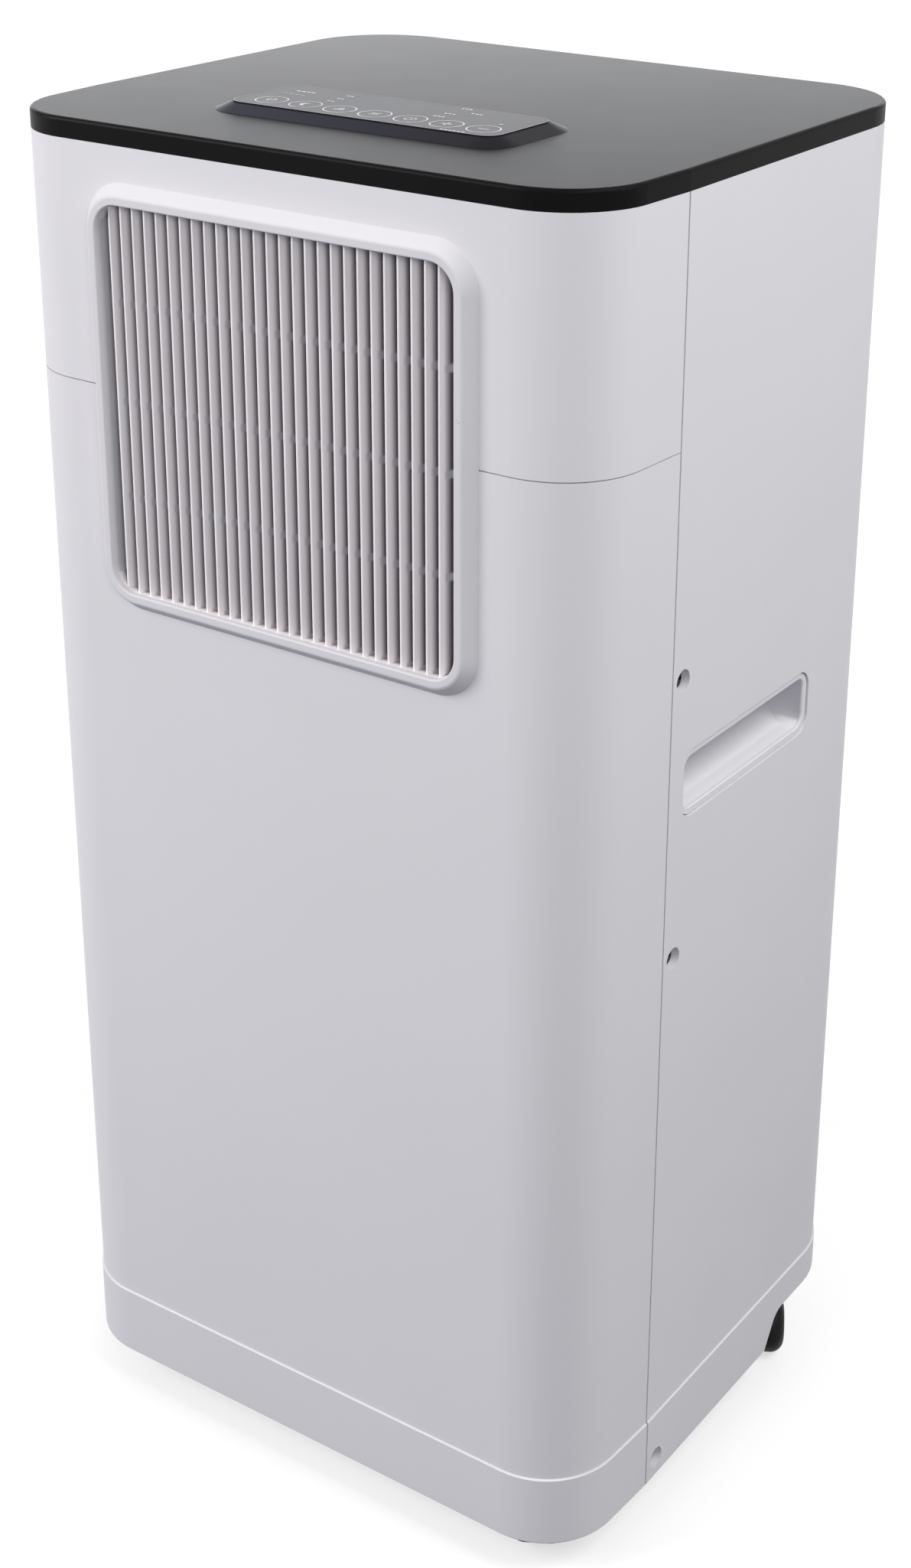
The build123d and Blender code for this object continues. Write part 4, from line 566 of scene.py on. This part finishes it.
def gate_mark():
    """Low round ridge: each ring has a radius and a height above the frame's face."""
    low, high = (Vector(corner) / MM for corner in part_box("outlet_grille"))
    x = high.x - GATE_FROM_SIDE
    z = low.z + GATE_ABOVE_FOOT
    verts = []
    for radius, proud in GATE_RINGS:
        for step in range(GATE_STEPS):
            t = math.tau * step / GATE_STEPS
            verts.append((x + radius * math.cos(t), low.y - proud, z + radius * math.sin(t)))
    faces = []
    for ring in range(len(GATE_RINGS) - 1):
        outer = ring * GATE_STEPS
        inner = outer + GATE_STEPS
        for step in range(GATE_STEPS):
            then = (step + 1) % GATE_STEPS
            faces.append((outer + step, outer + then, inner + then, inner + step))
    mesh_piece("gate_mark", verts, faces, WHITE_GRILLE, "case")


# Light and floor, in metres

WORLD_TINT = (0.97, 0.97, 1.0)
WORLD_STRENGTH = 0.32
FLOOR_REACH = 12.0
FLOOR_TONES = ((0.49, 0.49, 0.49), (0.51, 0.51, 0.51))
FLOOR_DIM_TONE = (0.09, 0.10, 0.145)
FLOOR_MOTTLE = 3.0
FLOOR_ROUGHNESS = 0.9
FLOOR_NEAR = 0.5
FLOOR_FAR = 3.0
FLOOR_GLOW_NEAR = 0.60
FLOOR_GLOW_FAR = 0.86


def area_light(name, location, target, size, power, colour=PURE_WHITE):
    data = bpy.data.lights.new(name, "AREA")
    data.shape = "RECTANGLE"
    data.size, data.size_y = size
    data.energy = power
    data.color = colour
    lamp = bpy.data.objects.new(name, data)
    SCENE.collection.objects.link(lamp)
    lamp.location = location
    aim = Vector(target) - Vector(location)
    lamp.rotation_euler = aim.to_track_quat("-Z", "Y").to_euler()


def build_lights():
    area_light("key_left", (-1.5, -1.65, 1.5), target=(0, 0, 0.55), size=(1.2, 1.2), power=41,
               colour=(1.0, 0.985, 1.0))
    area_light("key_right", (1.3, 0.1, 1.9), target=(0, 0, 0.6), size=(1.1, 1.1), power=21.5)
    area_light("fill_right", (1.85, -1.65, 1.5), target=(0, 0, 0.5), size=(0.9, 0.9), power=15)
    area_light("back_panel", (-1.6, 2.3, 1.2), target=(0, 0, 0.7), size=(3.6, 1.1), power=25,
               colour=(0.94, 0.955, 1.0))


def seen_rays(tree):
    """1 for rays that show the background: straight to the lens, mirrored or through glass."""
    path = node(tree, "ShaderNodeLightPath").outputs
    seen = path["Is Camera Ray"]
    for name in ("Is Glossy Ray", "Is Transmission Ray"):
        seen = calc(tree, "MAXIMUM", seen, path[name])
    return seen


def build_world():
    """Soft light all around, with a white background where it is seen."""
    world = bpy.data.worlds.new("studio")
    SCENE.world = world
    world.use_nodes = True
    tree = world.node_tree
    tree.nodes.clear()
    light = node(tree, "ShaderNodeBackground", {"Color": rgba(WORLD_TINT), "Strength": WORLD_STRENGTH})
    white = node(tree, "ShaderNodeBackground", {"Color": rgba(PURE_WHITE), "Strength": 1.0})
    surface = mix_shader(tree, seen_rays(tree), light, white)
    node(tree, "ShaderNodeOutputWorld", {"Surface": surface})


def floor_material():
    """Pale where it is seen, glowing to white further out, and dim in the light that it throws back."""
    mat, tree, shader = new_material("floor")
    coords = object_coords(tree)
    put(tree, shader.inputs["Base Color"], ramp(tree, noise(tree, coords, FLOOR_MOTTLE), *FLOOR_TONES))
    put(tree, shader.inputs["Roughness"], FLOOR_ROUGHNESS)
    put(tree, shader.inputs["Specular IOR Level"], 0.0)
    away = node(tree, "ShaderNodeVectorMath", {0: coords}, operation="LENGTH").outputs["Value"]
    rise = map_range(tree, away, FLOOR_NEAR, FLOOR_FAR, FLOOR_GLOW_NEAR, FLOOR_GLOW_FAR)
    glow = node(tree, "ShaderNodeEmission", {"Color": rgba(PURE_WHITE), "Strength": rise})
    lit = node(tree, "ShaderNodeAddShader", {0: shader.outputs[0], 1: glow.outputs[0]})
    dim = node(tree, "ShaderNodeBsdfDiffuse", {"Color": rgba(FLOOR_DIM_TONE)})
    surface = mix_shader(tree, seen_rays(tree), dim, lit)
    put(tree, tree.nodes["Material Output"].inputs["Surface"], surface)
    return mat


def build_floor():
    signs = ((-1, -1), (1, -1), (1, 1), (-1, 1))
    mesh = bpy.data.meshes.new("floor")
    mesh.from_pydata([(sx * FLOOR_REACH, sy * FLOOR_REACH, 0) for sx, sy in signs], [], [(0, 1, 2, 3)])
    mesh.materials.append(floor_material())
    floor = bpy.data.objects.new("floor", mesh)
    SCENE.collection.objects.link(floor)


# Camera at the photograph's viewing angle: place in metres, turns in radians, lens in millimetres

CAMERA_PLACE = (0.657905, -0.938076, 0.906489)
CAMERA_YAW = 0.593694
CAMERA_PITCH = 0.379679
CAMERA_ROLL = 0.007882
SENSOR_WIDTH = 36.0
LENS = 55.991
LENS_SHIFT_X = -0.03118
LENS_SHIFT_Y = -0.11906
VIEW_REACH = 60.0


def camera_turn():
    level = math.cos(CAMERA_PITCH)
    ahead = Vector((-math.sin(CAMERA_YAW) * level, math.cos(CAMERA_YAW) * level, -math.sin(CAMERA_PITCH)))
    right = Vector((math.cos(CAMERA_YAW), math.sin(CAMERA_YAW), 0))
    up = right.cross(ahead)
    side = math.cos(CAMERA_ROLL) * right + math.sin(CAMERA_ROLL) * up
    top = -math.sin(CAMERA_ROLL) * right + math.cos(CAMERA_ROLL) * up
    return Matrix((side, top, -ahead)).transposed()


def build_camera():
    data = bpy.data.cameras.new("camera")
    data.sensor_width = SENSOR_WIDTH
    data.lens = LENS
    data.shift_x = LENS_SHIFT_X
    data.shift_y = LENS_SHIFT_Y
    data.clip_end = VIEW_REACH
    camera = bpy.data.objects.new("camera", data)
    SCENE.collection.objects.link(camera)
    camera.matrix_world = Matrix.Translation(CAMERA_PLACE) @ camera_turn().to_4x4()
    SCENE.camera = camera


dress_nodes()
print_film()
gate_mark()
build_lights()
build_world()
build_floor()
build_camera()
SCENE.view_settings.view_transform = "Standard"
